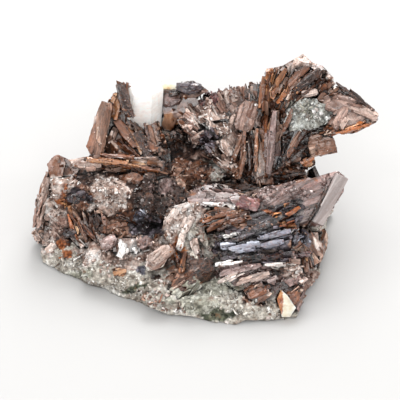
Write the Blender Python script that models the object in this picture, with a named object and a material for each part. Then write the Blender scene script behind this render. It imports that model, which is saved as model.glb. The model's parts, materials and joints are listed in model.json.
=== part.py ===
"""Axinite crystals grown on a block of pale green-grey matrix, in metres, +Z up.

The block lies on its flat broken foot. The brown axinite crystals are wedge-edged blades and plates
that grew together in clusters, each cluster one solid. The matrix is hollowed by a seat of its own
for each of them. A white quartz prism and a cream feldspar crystal stand in seats too.
"""

import math
import random

import bmesh
import bpy
from mathutils import Matrix, Vector, bvhtree

# Driving sizes
MM = 0.001
SPECIMEN_WIDTH = 60.0 * MM
SEAT_GAP = 0.32 * MM
FOOT_LEVEL = 0.0
SEED = 11

# The view that the crystals' places were read in: the frame is square, and the specimen
# spans SPECIMEN_PIXELS of it. A place is a pixel of that frame and a height above the foot.
FRAME_PIXELS = 400
SPECIMEN_PIXELS = 347
VIEW_TILT = math.radians(40)
VIEW_DISTANCE = 0.38
VIEW_AIM = Vector((0.0, 0.0, 9.3 * MM))
FRAME_HALF = SPECIMEN_WIDTH * FRAME_PIXELS / SPECIMEN_PIXELS / 2

AWAY = Vector((0.0, math.cos(VIEW_TILT), -math.sin(VIEW_TILT)))
RIGHT = Vector((1.0, 0.0, 0.0))
UP = RIGHT.cross(AWAY)
EYE = VIEW_AIM - AWAY * VIEW_DISTANCE

# Colours of the plain solids: base colour, roughness
FINISHES = {
    "rock": ((0.47, 0.47, 0.40), 0.85),
    "brown": ((0.19, 0.11, 0.08), 0.30),
    "dark": ((0.07, 0.05, 0.05), 0.22),
    "tan": ((0.42, 0.30, 0.23), 0.35),
    "white": ((0.88, 0.85, 0.80), 0.30),
    "cream": ((0.85, 0.72, 0.50), 0.40),
}


def seen(across, down, height):
    """The point at a height, in mm, that shows at a pixel of the frame."""
    half = FRAME_PIXELS / 2
    ray = AWAY + (RIGHT * (across - half) + UP * (half - down)) / half * FRAME_HALF / VIEW_DISTANCE
    return EYE + ray * ((height * MM - EYE.z) / ray.z)


# A crystal is held as its faces' planes, (outward normal, distance from the origin), because
# the same planes moved outwards by the gap also cut the seat that it stands in.


def hull_planes(corners):
    """The planes of the convex solid that the corners span."""
    shape = bmesh.new()
    for corner in corners:
        shape.verts.new(corner)
    bmesh.ops.convex_hull(shape, input=shape.verts)
    planes = []
    for face in shape.faces:
        face.normal_update()
        normal = face.normal.copy()
        distance = normal.dot(face.verts[0].co)
        if face.calc_area() > 0 and not any(normal.dot(n) > 0.9999 for n, _ in planes):
            planes.append((normal, distance))
    shape.free()
    middle = sum(corners, Vector()) / len(corners)
    return [(n, d) if n.dot(middle) < d else (-n, -d) for n, d in planes]


def slab(*outline, depth, taper=0.75):
    """A crystal whose front face has this outline of pixels and heights. It narrows as it goes back."""
    front = [seen(*place) for place in outline]
    middle = sum(front, Vector()) / len(front)
    back = [middle + (corner - middle) * taper + AWAY * depth * MM for corner in front]
    return hull_planes(front + back)


# Faces of a crystal that fills the box from -1 to 1: (along, across, through, distance)
BLADE = (
    (0, 0, 1, 0.95), (0, 0, -1, 0.95), (0.45, 0, 1, 1.05), (0.3, 0.1, -1, 1.0),
    (0, 1, 0.55, 1.12), (0, -1, -0.55, 1.12), (0, 1, -0.8, 1.45),
    (1, 0.75, 0, 0.88), (1, -1.5, 0.2, 1.2), (-1, 0, 0, 1),
)
AXE = (
    (0.75, 0, 1, 1.0), (0.6, 0.15, -1, 0.95), (0, 1, 0.5, 1.1), (0, -1, -0.5, 1.1),
    (1, 0.6, 0, 1.25), (1, -0.9, 0.1, 1.45), (1, 0, 0, 1), (-1, 0, 0, 1),
)
CHIP = (
    (0.3, 0, 1, 1.0), (0, 0.2, -1, 1.0), (0, 1, 0.3, 1.0), (0, -1, 0.2, 1.0),
    (1, 0.5, 0.1, 1.0), (1, -0.7, 0, 1.1), (-1, 0, 0, 1),
)
COLUMN = (
    (0, 1, 0, 1), (0, -1, 0, 1), (0, 0.5, 0.87, 0.93), (0, -0.5, 0.87, 0.93),
    (0, 0.5, -0.87, 0.93), (0, -0.5, -0.87, 0.93),
    (1, 0.24, 0.1, 1.0), (1, -0.2, 0.26, 1.06), (1, 0.05, -0.3, 1.1), (-1, 0, 0, 1),
)


def grown(tip, root, width, thickness, turn=0.0, habit=BLADE):
    """A crystal from root to tip, with width and thickness in mm. At turn 0 its broad face looks at the eye."""
    along = (tip - root).normalized()
    facing = (-AWAY + along * AWAY.dot(along)).normalized()
    through = Matrix.Rotation(math.radians(turn), 3, along) @ facing
    axes = Matrix((along, through.cross(along), through)).transposed()
    half = Vector(((tip - root).length / 2, width * MM / 2, thickness * MM / 2))
    middle = (tip + root) / 2
    planes = []
    for *direction, reach in habit:
        raw = Vector(d / h for d, h in zip(direction, half))
        normal = axes @ raw.normalized()
        planes.append((normal, reach / raw.length + normal.dot(middle)))
    return planes


def chunk(centre, size, rng, faces=7, bite=0.16, turn=0.0):
    """A broken lump: a box of this size in mm with leaning sides, chipped by planes that face every way."""
    turned = Matrix.Rotation(math.radians(turn), 3, "Z")
    half = Vector(size) * MM / 2
    cuts = []
    for axis in range(3):
        for side in (1, -1):
            direction = Vector([rng.uniform(-0.2, 0.2) for _ in range(3)])
            direction[axis] = side
            cuts.append((direction, 1.0))
    for number in range(faces):
        rise = 1 - 2 * (number + 0.5) / faces
        angle = number * 2.39996 + rng.uniform(-0.4, 0.4)
        level = math.sqrt(1 - rise * rise)
        outward = Vector((math.cos(angle) * level, math.sin(angle) * level, rise))
        cuts.append((outward, 1.2 - rng.uniform(0, bite)))
    planes = []
    for direction, reach in cuts:
        raw = Vector(d / h for d, h in zip(direction, half))
        normal = turned @ raw.normalized()
        planes.append((normal, reach / raw.length + normal.dot(centre)))
    return planes


def at(x, y, z):
    return Vector((x, y, z)) * MM


def small_crystals_on(host, others, rays, size, rng, sink=0.35):
    """Little blocky crystals where rays meet the host before they meet the other crystals."""
    found = []
    for start, ray in rays:
        hit, normal, _, far = host.ray_cast(start, ray)
        if hit is None or hit.z < 1.4 * MM:
            continue
        other = others.ray_cast(start, ray)
        if other[0] is not None and other[3] < far + 1.5 * MM:
            continue
        length = size * rng.uniform(0.7, 1.4)
        lean = Vector([rng.uniform(-0.75, 0.75) for _ in range(3)])
        out = (normal + lean).normalized()
        root = hit - out * length * sink * MM
        tip = hit + out * length * (1 - sink) * MM
        width = length * rng.uniform(0.55, 1.0)
        found.append(grown(tip, root, width, width * rng.uniform(0.35, 0.7), rng.uniform(0, 180), CHIP))
    return found


def view_rays(left, top, right, bottom, pitch, rng):
    """Rays from the eye through a patch of the frame, one about every pitch pixels."""
    rays = []
    for row in range(int((bottom - top) / pitch)):
        for column in range(int((right - left) / pitch)):
            across = left + (column + rng.uniform(0.1, 0.9)) * pitch
            down = top + (row + rng.uniform(0.1, 0.9)) * pitch
            rays.append((EYE, (seen(across, down, 0) - EYE).normalized()))
    return rays


def side_rays(from_angle, to_angle, low, high, count, rng):
    """Rays inwards from all round an arc, for the sides that aren't in the frame. 0 is the right end."""
    rays = []
    for number in range(count):
        angle = math.radians(from_angle + (to_angle - from_angle) * (number + rng.random()) / count)
        goal = at(rng.uniform(-9, 9), rng.uniform(-4, 6), rng.uniform(low, high))
        start = goal + Vector((math.cos(angle), math.sin(angle), rng.uniform(0.05, 0.6))) * 100 * MM
        rays.append((start, (goal - start).normalized()))
    return rays


# Blender objects from planes


def solid(name, planes, grow=0.0):
    """A new object that fills the space inside the planes, each moved outwards by grow."""
    shape = bmesh.new()
    bmesh.ops.create_cube(shape, size=0.2)
    for normal, distance in planes:
        cut = bmesh.ops.bisect_plane(
            shape,
            geom=shape.verts[:] + shape.edges[:] + shape.faces[:],
            plane_co=normal * (distance + grow),
            plane_no=normal,
            clear_outer=True,
            dist=1e-8,
        )
        rim = [piece for piece in cut["geom_cut"] if isinstance(piece, bmesh.types.BMEdge)]
        bmesh.ops.contextual_create(shape, geom=rim)
    bmesh.ops.remove_doubles(shape, verts=shape.verts, dist=0.01 * MM)
    bmesh.ops.recalc_face_normals(shape, faces=shape.faces)
    mesh = bpy.data.meshes.new(name)
    shape.to_mesh(mesh)
    shape.free()
    made = bpy.data.objects.new(name, mesh)
    bpy.context.scene.collection.objects.link(made)
    return made


def apply_boolean(target, others, operation):
    """Joins or cuts target by the other objects, then removes them."""
    group = bpy.data.collections.new("operands")
    bpy.context.scene.collection.children.link(group)
    for other in others:
        bpy.context.scene.collection.objects.unlink(other)
        group.objects.link(other)
    boolean = target.modifiers.new(operation.title(), "BOOLEAN")
    boolean.operation = operation
    boolean.operand_type = "COLLECTION"
    boolean.collection = group
    graph = bpy.context.evaluated_depsgraph_get()
    mesh = bpy.data.meshes.new_from_object(target.evaluated_get(graph))
    target.modifiers.clear()
    target.data = mesh
    for other in others:
        bpy.data.objects.remove(other)
    bpy.data.collections.remove(group)


def join(name, crystals):
    """The crystals of a cluster as one solid."""
    first, *rest = [solid(name if i == 0 else f"{name}_{i}", planes) for i, planes in enumerate(crystals)]
    if rest:
        apply_boolean(first, rest, "UNION")
    return first


def make_seats(target, crystals):
    """Cuts a seat in target for each crystal, SEAT_GAP wider than the crystal all round."""
    low, high = box_of(target)
    cutters = []
    for i, planes in enumerate(crystals):
        cutter = solid(f"seat_{i}", planes, SEAT_GAP)
        cut_low, cut_high = box_of(cutter)
        if all(cut_low[k] < high[k] and cut_high[k] > low[k] for k in range(3)):
            cutters.append(cutter)
        else:
            bpy.data.objects.remove(cutter)
    if cutters:
        apply_boolean(target, cutters, "DIFFERENCE")


def box_of(thing):
    points = [vertex.co for vertex in thing.data.vertices]
    return [min(p[k] for p in points) for k in range(3)], [max(p[k] for p in points) for k in range(3)]


def keep_main_piece(thing):
    """Drops the chips that a seat cut loose, and welds what is left."""
    shape = bmesh.new()
    shape.from_mesh(thing.data)
    bmesh.ops.remove_doubles(shape, verts=shape.verts, dist=0.006 * MM)
    bmesh.ops.dissolve_degenerate(shape, edges=shape.edges, dist=0.006 * MM)
    pieces, seen_faces = [], set()
    for face in shape.faces:
        if face in seen_faces:
            continue
        piece, waiting = [], [face]
        seen_faces.add(face)
        while waiting:
            current = waiting.pop()
            piece.append(current)
            for edge in current.edges:
                for other in edge.link_faces if len(edge.link_faces) == 2 else ():
                    if other not in seen_faces:
                        seen_faces.add(other)
                        waiting.append(other)
        pieces.append(piece)
    main = max(pieces, key=lambda piece: sum(face.calc_area() for face in piece))
    keep = set(main)
    bmesh.ops.delete(shape, geom=[f for f in shape.faces if f not in keep], context="FACES")
    bmesh.ops.dissolve_limit(
        shape, angle_limit=math.radians(0.4), use_dissolve_boundaries=False, verts=shape.verts, edges=shape.edges
    )
    bmesh.ops.triangulate(shape, faces=shape.faces)
    shape.to_mesh(thing.data)
    shape.free()


def tree_of(things):
    """The faces of the objects, for rays."""
    shape = bmesh.new()
    for thing in things:
        shape.from_mesh(thing.data)
    tree = bvhtree.BVHTree.FromBMesh(shape)
    shape.free()
    return tree


def finish(thing, finish_name):
    colour, roughness = FINISHES[finish_name]
    material = bpy.data.materials.get(finish_name) or bpy.data.materials.new(finish_name)
    material.use_nodes = True
    shader = material.node_tree.nodes["Principled BSDF"]
    shader.inputs["Base Color"].default_value = (*colour, 1)
    shader.inputs["Roughness"].default_value = roughness
    thing.data.materials.clear()
    thing.data.materials.append(material)


# The matrix


def rock_lumps(rng):
    """The lumps of the block: centre and size in mm, and turn in degrees."""
    lumps = (
        ((1, 1.5, 3.0), (41, 22, 6.4), 0),
        ((-17, 0.5, 4.0), (18, 13, 8.4), -30),
        ((4.5, -13.5, 1.5), (21, 13, 3.6), -8),
        ((-9, -10, 2.0), (20, 11, 4.6), -24),
        ((10, -10.5, 2.4), (12, 14, 5.2), 40),
        ((-17.5, 2.0, 8.2), (17, 9, 9.8), -12),
        ((-10.5, 7.5, 6.4), (17, 10, 12.6), 6),
        ((-2, 11.5, 6.0), (22, 15, 12), 0),
        ((7, 12.5, 5.6), (18, 13, 11.4), -14),
        ((12.5, 12, 6.0), (10, 10, 12), 12),
        ((15, -1, 3.8), (12, 18, 7.2), 6),
        ((-9, 12.5, 10.6), (13, 8, 8), 20),
    )
    return [chunk(at(*centre), size, rng, turn=turn) for centre, size, turn in lumps]


def rock_faces():
    """The broken faces of the block that the frame shows, each the front of a lump."""
    return [
        slab((66, 179, 13.0), (90, 174, 13.7), (118, 178, 12.8), (130, 192, 11.2), (126, 212, 8.8), (105, 219, 8.4),
             (82, 206, 9.8), (63, 200, 10.6), depth=8),
        slab((43, 204, 7.6), (62, 201, 9.8), (74, 214, 8.4), (70, 238, 5.4), (48, 241, 3.4), (40, 226, 4.6), depth=8),
        slab((40, 246, 2.2), (58, 239, 4.6), (84, 244, 5.2), (100, 262, 3.6), (98, 285, 0.3), (67, 275, 0.2),
             (43, 262, 0.4), depth=10),
        slab((96, 244, 5.8), (116, 240, 7.4), (150, 244, 7.0), (152, 262, 4.9), (142, 274, 3.6), (108, 272, 3.0),
             (93, 258, 4.2), depth=8),
        slab((98, 268, 3.0), (150, 270, 4.0), (166, 286, 2.4), (172, 315, 0.1), (150, 306, 0.2), (120, 296, 0.2),
             (96, 285, 0.3), depth=10),
        slab((164, 292, 2.2), (200, 279, 4.4), (232, 277, 5.0), (262, 281, 4.6), (272, 300, 2.2), (262, 322, 0.1),
             (234, 325, 0.1), (205, 322, 0.1), (168, 314, 0.2), depth=10),
        slab((266, 292, 3.0), (300, 285, 3.6), (304, 302, 1.2), (297, 318, 0.2), (262, 323, 0.1), depth=9),
        slab((298, 262, 5.0), (320, 258, 3.6), (320, 272, 1.8), (311, 284, 0.9), (302, 296, 0.6),
             (292, 280, 3.6), depth=9),
        slab((132, 178, 11.6), (150, 174, 12.0), (184, 178, 11.6), (188, 199, 10.4), (180, 205, 10.4), (160, 221, 8.8),
             (140, 221, 8.4), (130, 205, 9.8), depth=8),
    ]


def pale_ridge():
    """The whitish crusted rib down the middle of the front, and the flakes that hang from it."""
    return [
        slab((180, 204, 12.4), (205, 202, 12.6), (211, 206, 12.2), (203, 216, 10.6), (203, 232, 8.6),
             (193, 246, 6.9), (188, 262, 5.2), (181, 242, 7.4), (160, 232, 8.8), (166, 218, 10.8), depth=6),
        slab((176, 246, 7.0), (184, 240, 7.4), (190, 263, 5.0), (178, 270, 4.2), depth=2.4),
        grown(seen(209, 252, 6.8), seen(199, 228, 9.2), 1.3, 0.8, 20),
    ]


# The clusters, in the order in which they keep their shape: each cuts a seat in those after it


def white_prism():
    return [grown(seen(146.5, 82, 24.2), seen(143.5, 134, 13.6), 5.6, 4.6, 28, COLUMN)]


def cream_crystal():
    return [slab((281, 290, 4.6), (287, 295, 4.2), (296, 308, 2.6), (290, 317, 1.2), (282, 317, 1.2),
                 (279, 304, 3.0), (277, 299, 3.5), depth=2.6)]


def cream_cap():
    return [slab((160, 84, 21.8), (165, 81, 22.4), (175, 82, 22.6), (178, 91, 21.0), (169, 98, 19.4),
                 (161, 91, 20.6), depth=3.4)]


def green_chip():
    return [slab((287, 113, 21.2), (297, 102, 22.8), (310, 99, 23.2), (326, 104, 22.2), (337, 115, 20.4),
                 (330, 123, 19.4), (312, 129, 18.6), (292, 130, 18.6), (286, 121, 19.8), depth=3.2)]


def great_wedge():
    """The big axe-edged crystal at the right, with its long smooth side face."""
    top = [seen(*p) for p in (
        (337, 171, 17.6), (308, 221, 10.8), (286, 229, 9.7), (258, 222, 10.6), (246, 203, 12.7),
        (264, 188, 13.9), (300, 179, 15.6), (322, 175, 16.9),
    )]
    side = [seen(*p) for p in ((345, 176, 16.0), (344, 192, 13.8), (333, 208, 11.4), (320, 225, 8.8))]
    under = [corner + at(-2.5, 2.5, -4.2) for corner in top[1:7]]
    return [hull_planes(top + side + under)]


def step_stack():
    """Plates of one dark striated crystal, each a step lower and nearer than the last."""
    plates = []
    steps = 8
    for step in range(steps):
        share = step / (steps - 1)
        jog = (0.0, 5.0, -3.0, 4.0, -1.0, 6.0, 1.0, 3.0)[step]
        tip = seen(223 - 5 * share + jog, 229 + 32 * share, 10.6 - 3.2 * share)
        root = seen(300 - 12 * share + jog, 212 + 42 * share, 11.0 - 3.4 * share)
        plates.append(grown(tip, root, 4.6, 1.0, -34))
    plates.append(slab((222, 205, 12.6), (250, 199, 13.0), (262, 210, 12.0), (295, 212, 11.4),
                       (285, 224, 10.0), (235, 233, 9.4), (206, 226, 9.8), (205, 214, 11.2), depth=5))
    plates.append(slab((186, 193, 11.8), (204, 184, 12.8), (222, 186, 12.8), (240, 192, 12.8), (257, 205, 12.2),
                       (248, 211, 11.9), (213, 207, 12.2), (188, 204, 12.0), depth=5))
    plates.append(slab((228, 196, 13.1), (240, 193, 13.3), (255, 204, 12.9), (250, 211, 12.3), (234, 207, 12.5), depth=3))
    return plates


def front_plates():
    """Pale grey plates under the dark stack, and the hollowed group right of them."""
    return [
        grown(seen(219, 267, 7.0), seen(294, 262, 6.8), 3.6, 1.1, -30),
        grown(seen(228, 275, 6.0), seen(296, 270, 5.8), 3.8, 1.3, -14),
        grown(seen(240, 268, 6.8), seen(276, 280, 5.0), 1.5, 1.0, 24),
        grown(seen(217, 278, 5.2), seen(262, 284, 4.6), 3.0, 1.8, -10),
        slab((243, 290, 4.6), (255, 282, 5.4), (268, 286, 5.0), (271, 296, 3.8), (262, 303, 3.0),
             (249, 300, 3.4), depth=4),
        slab((281, 279, 5.4), (300, 276, 5.6), (304, 281, 5.0), (290, 287, 4.4), depth=4),
        slab((284, 263, 7.0), (296, 264, 6.9), (303, 272, 6.0), (296, 278, 5.4), (288, 272, 6.0), depth=4),
        slab((296, 284, 4.6), (303, 290, 3.8), (303, 300, 2.6), (299, 313, 1.2), (295, 306, 2.2),
             (291, 292, 3.9), depth=4),
        slab((303, 270, 6.0), (318, 266, 6.2), (320, 277, 4.8), (309, 284, 4.0), (303, 280, 4.6), depth=4),
        slab((262, 282, 4.2), (300, 282, 4.2), (298, 300, 2.4), (262, 304, 2.4), depth=5),
    ]


def right_edge_blades():
    """Blades that run down the right end below the great wedge."""
    return [
        grown(seen(326, 226, 8.6), seen(321, 263, 3.4), 1.6, 1.2, 40),
        grown(seen(300, 225, 9.6), seen(321, 258, 4.6), 3.0, 1.4, 8),
        grown(seen(293, 232, 9.0), seen(312, 266, 4.2), 2.6, 1.6, -14),
        grown(seen(309, 230, 8.8), seen(324, 262, 3.8), 2.4, 1.2, 20),
        slab((298, 258, 5.6), (312, 256, 5.8), (320, 262, 5.0), (308, 268, 4.6), depth=4),
        slab((295, 232, 8.4), (318, 232, 8.0), (322, 262, 3.8), (298, 268, 4.2), depth=5),
    ]


def front_wedge():
    return [slab((172, 244, 9.0), (160, 247, 8.8), (148, 256, 7.9), (145, 266, 6.6), (149, 272, 5.9),
                 (163, 267, 6.2), (168, 258, 7.4), depth=4)]


def front_blade():
    """The dark blade that points down the front, between the ridge and the green rock."""
    return [
        grown(seen(169, 298, 2.4), seen(208, 262, 7.4), 3.0, 2.2, 12, AXE),
        grown(seen(172, 288, 3.8), seen(212, 264, 7.2), 2.2, 2.4, -28),
        slab((186, 268, 6.4), (204, 262, 7.2), (216, 266, 6.8), (206, 276, 5.4), (190, 280, 4.8), depth=4),
    ]


def small_front_crystals():
    return [
        slab((136, 237, 8.6), (146, 235, 8.8), (152, 243, 7.8), (144, 249, 7.0), (137, 246, 7.3), depth=4),
        slab((103, 238, 8.2), (112, 234, 8.6), (117, 241, 7.8), (112, 250, 6.8), (103, 248, 7.0), depth=4),
        slab((113, 238, 7.9), (140, 238, 7.9), (140, 252, 6.2), (113, 252, 6.2), depth=5),
        grown(seen(121, 243, 8.0), seen(123, 259, 5.6), 1.8, 1.6, 30, COLUMN),
        grown(seen(134, 246, 7.6), seen(134, 259, 5.6), 1.5, 1.4, -20, COLUMN),
    ]


def corner_crystal():
    return [
        slab((48, 163, 15.0), (54, 155, 16.0), (62, 154, 16.4), (66, 163, 15.2), (62, 177, 13.4), (50, 178, 13.0),
             (48, 171, 13.9), depth=5),
        slab((61, 156, 15.8), (71, 158, 15.6), (80, 167, 14.4), (76, 176, 13.2), (63, 176, 13.0), depth=5),
    ]


def left_edge_plates():
    return [
        grown(seen(44, 175, 12.4), seen(41, 236, 3.4), 1.8, 1.4, 62),
        grown(seen(38, 195, 9.6), seen(40, 240, 2.6), 1.7, 1.6, 30),
        slab((31, 231, 3.4), (35, 229, 3.6), (46, 236, 2.9), (44, 246, 1.8), (37, 240, 2.5), depth=2.6),
        slab((41, 205, 7.6), (52, 205, 7.8), (54, 246, 2.8), (42, 246, 2.4), depth=4),
    ]


def ledge_blades():
    """The golden-brown bundle that bridges the dark hollow behind the left block."""
    return [
        grown(seen(78, 166, 15.0), seen(152, 169, 13.2), 2.6, 1.0, -52),
        grown(seen(90, 161, 15.8), seen(158, 163, 14.2), 2.2, 1.0, -30),
        grown(seen(97, 157, 16.2), seen(164, 168, 13.6), 2.0, 1.1, -12),
        grown(seen(108, 168, 14.6), seen(160, 173, 12.6), 1.8, 1.0, -40),
        grown(seen(68, 160, 15.6), seen(112, 162, 15.0), 2.0, 1.2, -60),
        slab((118, 181, 12.6), (130, 170, 13.9), (139, 171, 13.9), (147, 181, 12.6), (140, 187, 11.8),
             (126, 186, 12.0), depth=5),
        slab((146, 160, 14.0), (160, 158, 14.2), (168, 176, 11.8), (150, 184, 11.0), (142, 176, 12.2), depth=5),
    ]


def cleft_blades():
    """Thin brown blades that slant into the hollow of the left face."""
    blades = []
    for number in range(6):
        start = 67 + 6.5 * number
        tip = seen(start, 209 + (number % 2) * 2, 9.6)
        root = seen(start + 19, 246 - (number % 3) * 2, 5.0)
        blades.append(grown(tip, root, 1.9, 0.75, 38 - 7 * number))
    blades.append(slab((72, 226, 7.0), (100, 222, 7.6), (112, 236, 6.0), (96, 248, 4.4), (76, 246, 4.6), depth=4))
    blades.append(slab((63, 231, 6.4), (71, 228, 6.8), (79, 236, 5.8), (73, 241, 5.0), depth=3))
    return blades


def upper_left_fan():
    """Tall plates at the back left."""
    return [
        slab((91, 157, 13.8), (93, 141, 16.2), (98, 119, 19.2), (105, 103, 21.2), (110, 100, 21.6), (111, 128, 18.2),
             (105, 154, 14.4), depth=1.6, taper=0.9),
        slab((108, 112, 20.2), (113, 92, 23.0), (118, 100, 22.0), (121, 120, 19.4), (119, 146, 15.8), (109, 146, 15.6),
             depth=1.6, taper=0.9),
        slab((116, 80, 24.8), (121, 82, 24.4), (129, 86, 23.8), (132, 86, 23.8), (129, 104, 21.4), (127, 124, 18.6),
             (121, 124, 18.6), (120, 98, 22.4), depth=2.0, taper=0.9),
        grown(seen(90, 121, 18.6), seen(95, 162, 12.4), 1.7, 1.0, 34),
        slab((96, 140, 15.8), (128, 132, 17.0), (150, 150, 14.6), (150, 166, 12.4), (96, 164, 12.4), depth=5),
        grown(seen(104, 126, 18.6), seen(122, 158, 13.6), 2.4, 1.8, 24, AXE),
    ]


def slab_under_prism():
    return [
        slab((120, 121, 18.8), (127, 118, 19.2), (142, 129, 17.6), (151, 142, 15.6), (147, 154, 13.8),
             (138, 136, 16.0), (128, 130, 17.0), depth=3.4),
        slab((144, 128, 17.6), (156, 121, 18.4), (160, 131, 17.0), (166, 146, 14.8), (160, 158, 13.2), (149, 150, 14.2),
             depth=4),
        grown(seen(113, 128, 18.0), seen(146, 160, 13.0), 3.0, 2.4, 10, AXE),
        slab((130, 140, 15.8), (150, 140, 15.8), (170, 150, 13.8), (172, 168, 11.4), (134, 166, 12.0), depth=5),
    ]


def grey_crystal():
    return [
        slab((160, 98, 19.4), (170, 95, 20.0), (178, 98, 19.6), (182, 112, 17.8), (178, 122, 16.0), (171, 131, 14.6),
             (164, 130, 14.8), (157, 115, 17.4), depth=5),
        slab((176, 99, 19.6), (186, 94, 20.4), (198, 99, 19.8), (202, 110, 18.2), (196, 119, 17.0), (184, 118, 17.0),
             (177, 110, 18.2), depth=6),
        slab((175, 92, 20.8), (178, 84, 22.2), (188, 81, 22.8), (200, 84, 22.4), (209, 91, 21.4), (196, 98, 20.0),
             (180, 98, 20.0), depth=5),
    ]


def upper_block():
    """The mass at the back middle: a crusted slope with two smooth crystal faces let into it."""
    rng = random.Random(SEED + 3)
    blocks = [
        slab((204, 100, 20.2), (226, 90, 21.8), (262, 87, 22.4), (268, 104, 20.0), (264, 134, 15.8), (246, 172, 10.8),
             (226, 164, 11.8), (200, 138, 15.2), (184, 120, 17.4), (190, 110, 18.8), depth=9),
        slab((218, 96, 21.8), (231, 89, 22.9), (246, 90, 22.8), (251, 98, 21.6), (240, 106, 20.2), (226, 113, 19.0),
             (218, 107, 20.0), depth=4),
        slab((231, 109, 19.9), (240, 104, 20.6), (248, 101, 21.0), (255, 108, 20.0), (264, 129, 17.0), (256, 133, 16.2),
             (242, 130, 16.6), (233, 122, 17.8), depth=4),
        slab((250, 84, 23.0), (263, 83, 23.2), (268, 96, 21.2), (262, 108, 19.6), (253, 98, 21.0), depth=5),
    ]
    hearts = ((191, 124, 17.4), (203, 137, 15.8), (215, 149, 14.4), (227, 160, 12.8), (238, 171, 11.4),
              (207, 116, 18.4), (219, 130, 16.8), (230, 146, 14.8))
    for place in hearts:
        heart = seen(*place)
        lean = Vector((rng.uniform(-0.8, 0.1), -0.5, rng.uniform(-0.1, 0.8))).normalized() * 2.3 * MM
        width, thickness, turn = rng.uniform(2.6, 4.2), rng.uniform(1.6, 2.8), rng.uniform(0, 180)
        blocks.append(grown(heart + lean, heart - lean, width, thickness, turn, AXE))
    return blocks


def tall_blades():
    """Upright blades between the upper block and the right-hand spray."""
    blades = [
        slab((272, 111, 20.4), (275, 108, 20.8), (280, 124, 18.6), (281, 150, 14.8), (277, 165, 12.4), (270, 178, 10.2),
             (265, 176, 10.6), (270, 140, 16.2), depth=2.2, taper=0.85),
    ]
    upright = ((245, 133, 176), (252, 131, 179), (258, 128, 180), (264, 116, 181), (283, 128, 176))
    for number, (across, top, low) in enumerate(upright):
        tip = seen(across, top, 18.2 - (top - 116) * 0.13)
        root = seen(across + 3, low + 4, 9.4)
        blades.append(grown(tip, root, 2.3, 1.7, 25 - 16 * number))
    blades.append(slab((246, 150, 13.6), (284, 146, 14.4), (288, 182, 8.8), (250, 186, 8.4), depth=5))
    return blades


def lying_blades():
    """Low blades in the saddle between the tall blades and the great wedge."""
    return [
        grown(seen(258, 182, 10.8), seen(302, 186, 10.0), 2.4, 1.4, -40),
        grown(seen(304, 176, 11.4), seen(270, 180, 10.0), 2.0, 1.2, 10),
        slab((225, 180, 9.6), (240, 176, 10.2), (262, 184, 9.6), (258, 193, 8.8), (240, 196, 8.4),
             (226, 190, 8.8), depth=4),
        slab((236, 182, 9.0), (300, 182, 9.4), (300, 192, 8.2), (240, 194, 8.0), depth=5),
    ]


def right_spray():
    """The fan of blades that leans out over the right end."""
    rng = random.Random(SEED + 5)
    blades = [
        slab((268, 76, 24.4), (285, 68, 25.8), (300, 66, 26.2), (316, 76, 25.0), (318, 92, 23.0), (300, 100, 21.6),
             (284, 122, 18.6), (272, 112, 19.6), depth=6),
        slab((280, 130, 17.6), (302, 128, 18.2), (312, 140, 16.4), (304, 176, 11.2), (284, 178, 10.4), depth=6),
        slab((272, 92, 21.6), (322, 84, 23.0), (340, 98, 21.6), (342, 122, 18.6), (300, 134, 17.0),
             (272, 130, 17.4), depth=6.5),
        grown(seen(323, 72, 26.4), seen(288, 86, 23.6), 2.6, 2.2, 24),
        grown(seen(321, 80, 25.2), seen(290, 94, 22.4), 2.4, 2.0, 12),
        grown(seen(318, 88, 24.2), seen(292, 100, 21.6), 1.8, 1.8, -6),
        grown(seen(272, 68, 25.8), seen(268, 108, 19.8), 2.2, 1.8, 30),
        grown(seen(334, 82, 24.4), seen(316, 92, 22.6), 3.0, 2.4, 40),
        slab((318, 96, 23.2), (337, 87, 24.4), (361, 102, 22.4), (374, 110, 21.4), (371, 118, 20.4), (352, 128, 18.8),
             (336, 127, 18.8), (322, 112, 21.0), depth=3.4),
        grown(seen(379, 112, 21.4), seen(335, 92, 23.2), 2.6, 1.6, 36),
        grown(seen(377, 120, 20.2), seen(338, 116, 20.4), 3.0, 1.8, -12, AXE),
        grown(seen(366, 128, 19.0), seen(328, 124, 19.0), 3.0, 1.4, -24),
        slab((311, 132, 17.8), (330, 130, 18.2), (336, 142, 16.4), (338, 153, 14.8), (327, 155, 14.4), (314, 156, 14.2),
             (306, 148, 15.2), depth=4),
        slab((289, 150, 14.4), (305, 140, 16.0), (313, 154, 14.2), (315, 165, 12.8), (303, 170, 12.0),
             (290, 168, 12.0), depth=4),
        grown(seen(286, 168, 12.4), seen(312, 134, 16.6), 3.0, 2.0, 18),
    ]
    knobs = ((292, 66, 26.0, 3.4), (303, 61, 26.8, 4.0), (273, 72, 25.2, 2.8), (319, 69, 25.8, 2.8),
             (327, 77, 24.8, 2.4), (282, 70, 25.6, 3.0))
    for *place, size in knobs:
        turn = rng.uniform(0, 90)
        blades.append(chunk(seen(*place), (size, size * 0.9, size * 0.8), rng, faces=4, turn=turn))
    return blades


def outer_fan(heart, way, length, count, seed):
    """A fan of blades growing out and up from the rock on a side that the frame doesn't show; way is in degrees."""
    rng = random.Random(SEED + seed)
    outward = Vector((math.cos(math.radians(way)), math.sin(math.radians(way)), 0))
    side = Vector((-outward.y, outward.x, 0))
    heart = at(*heart)
    blades = [chunk(heart, (8.0, 6.0, 7.0), rng, faces=5, turn=way)]
    for number in range(count):
        spread = (number / (count - 1) - 0.5) * 2
        lean = outward * rng.uniform(0.3, 0.9) + side * spread * 1.1 + Vector((0, 0, rng.uniform(0.2, 1.1)))
        tip = heart + lean.normalized() * length * rng.uniform(0.75, 1.05) * MM
        root = heart - lean.normalized() * 1.2 * MM
        blades.append(grown(tip, root, rng.uniform(3.0, 5.0), rng.uniform(1.3, 2.2), rng.uniform(0, 180),
                            rng.choice((CHIP, AXE))))
    return blades


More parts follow.
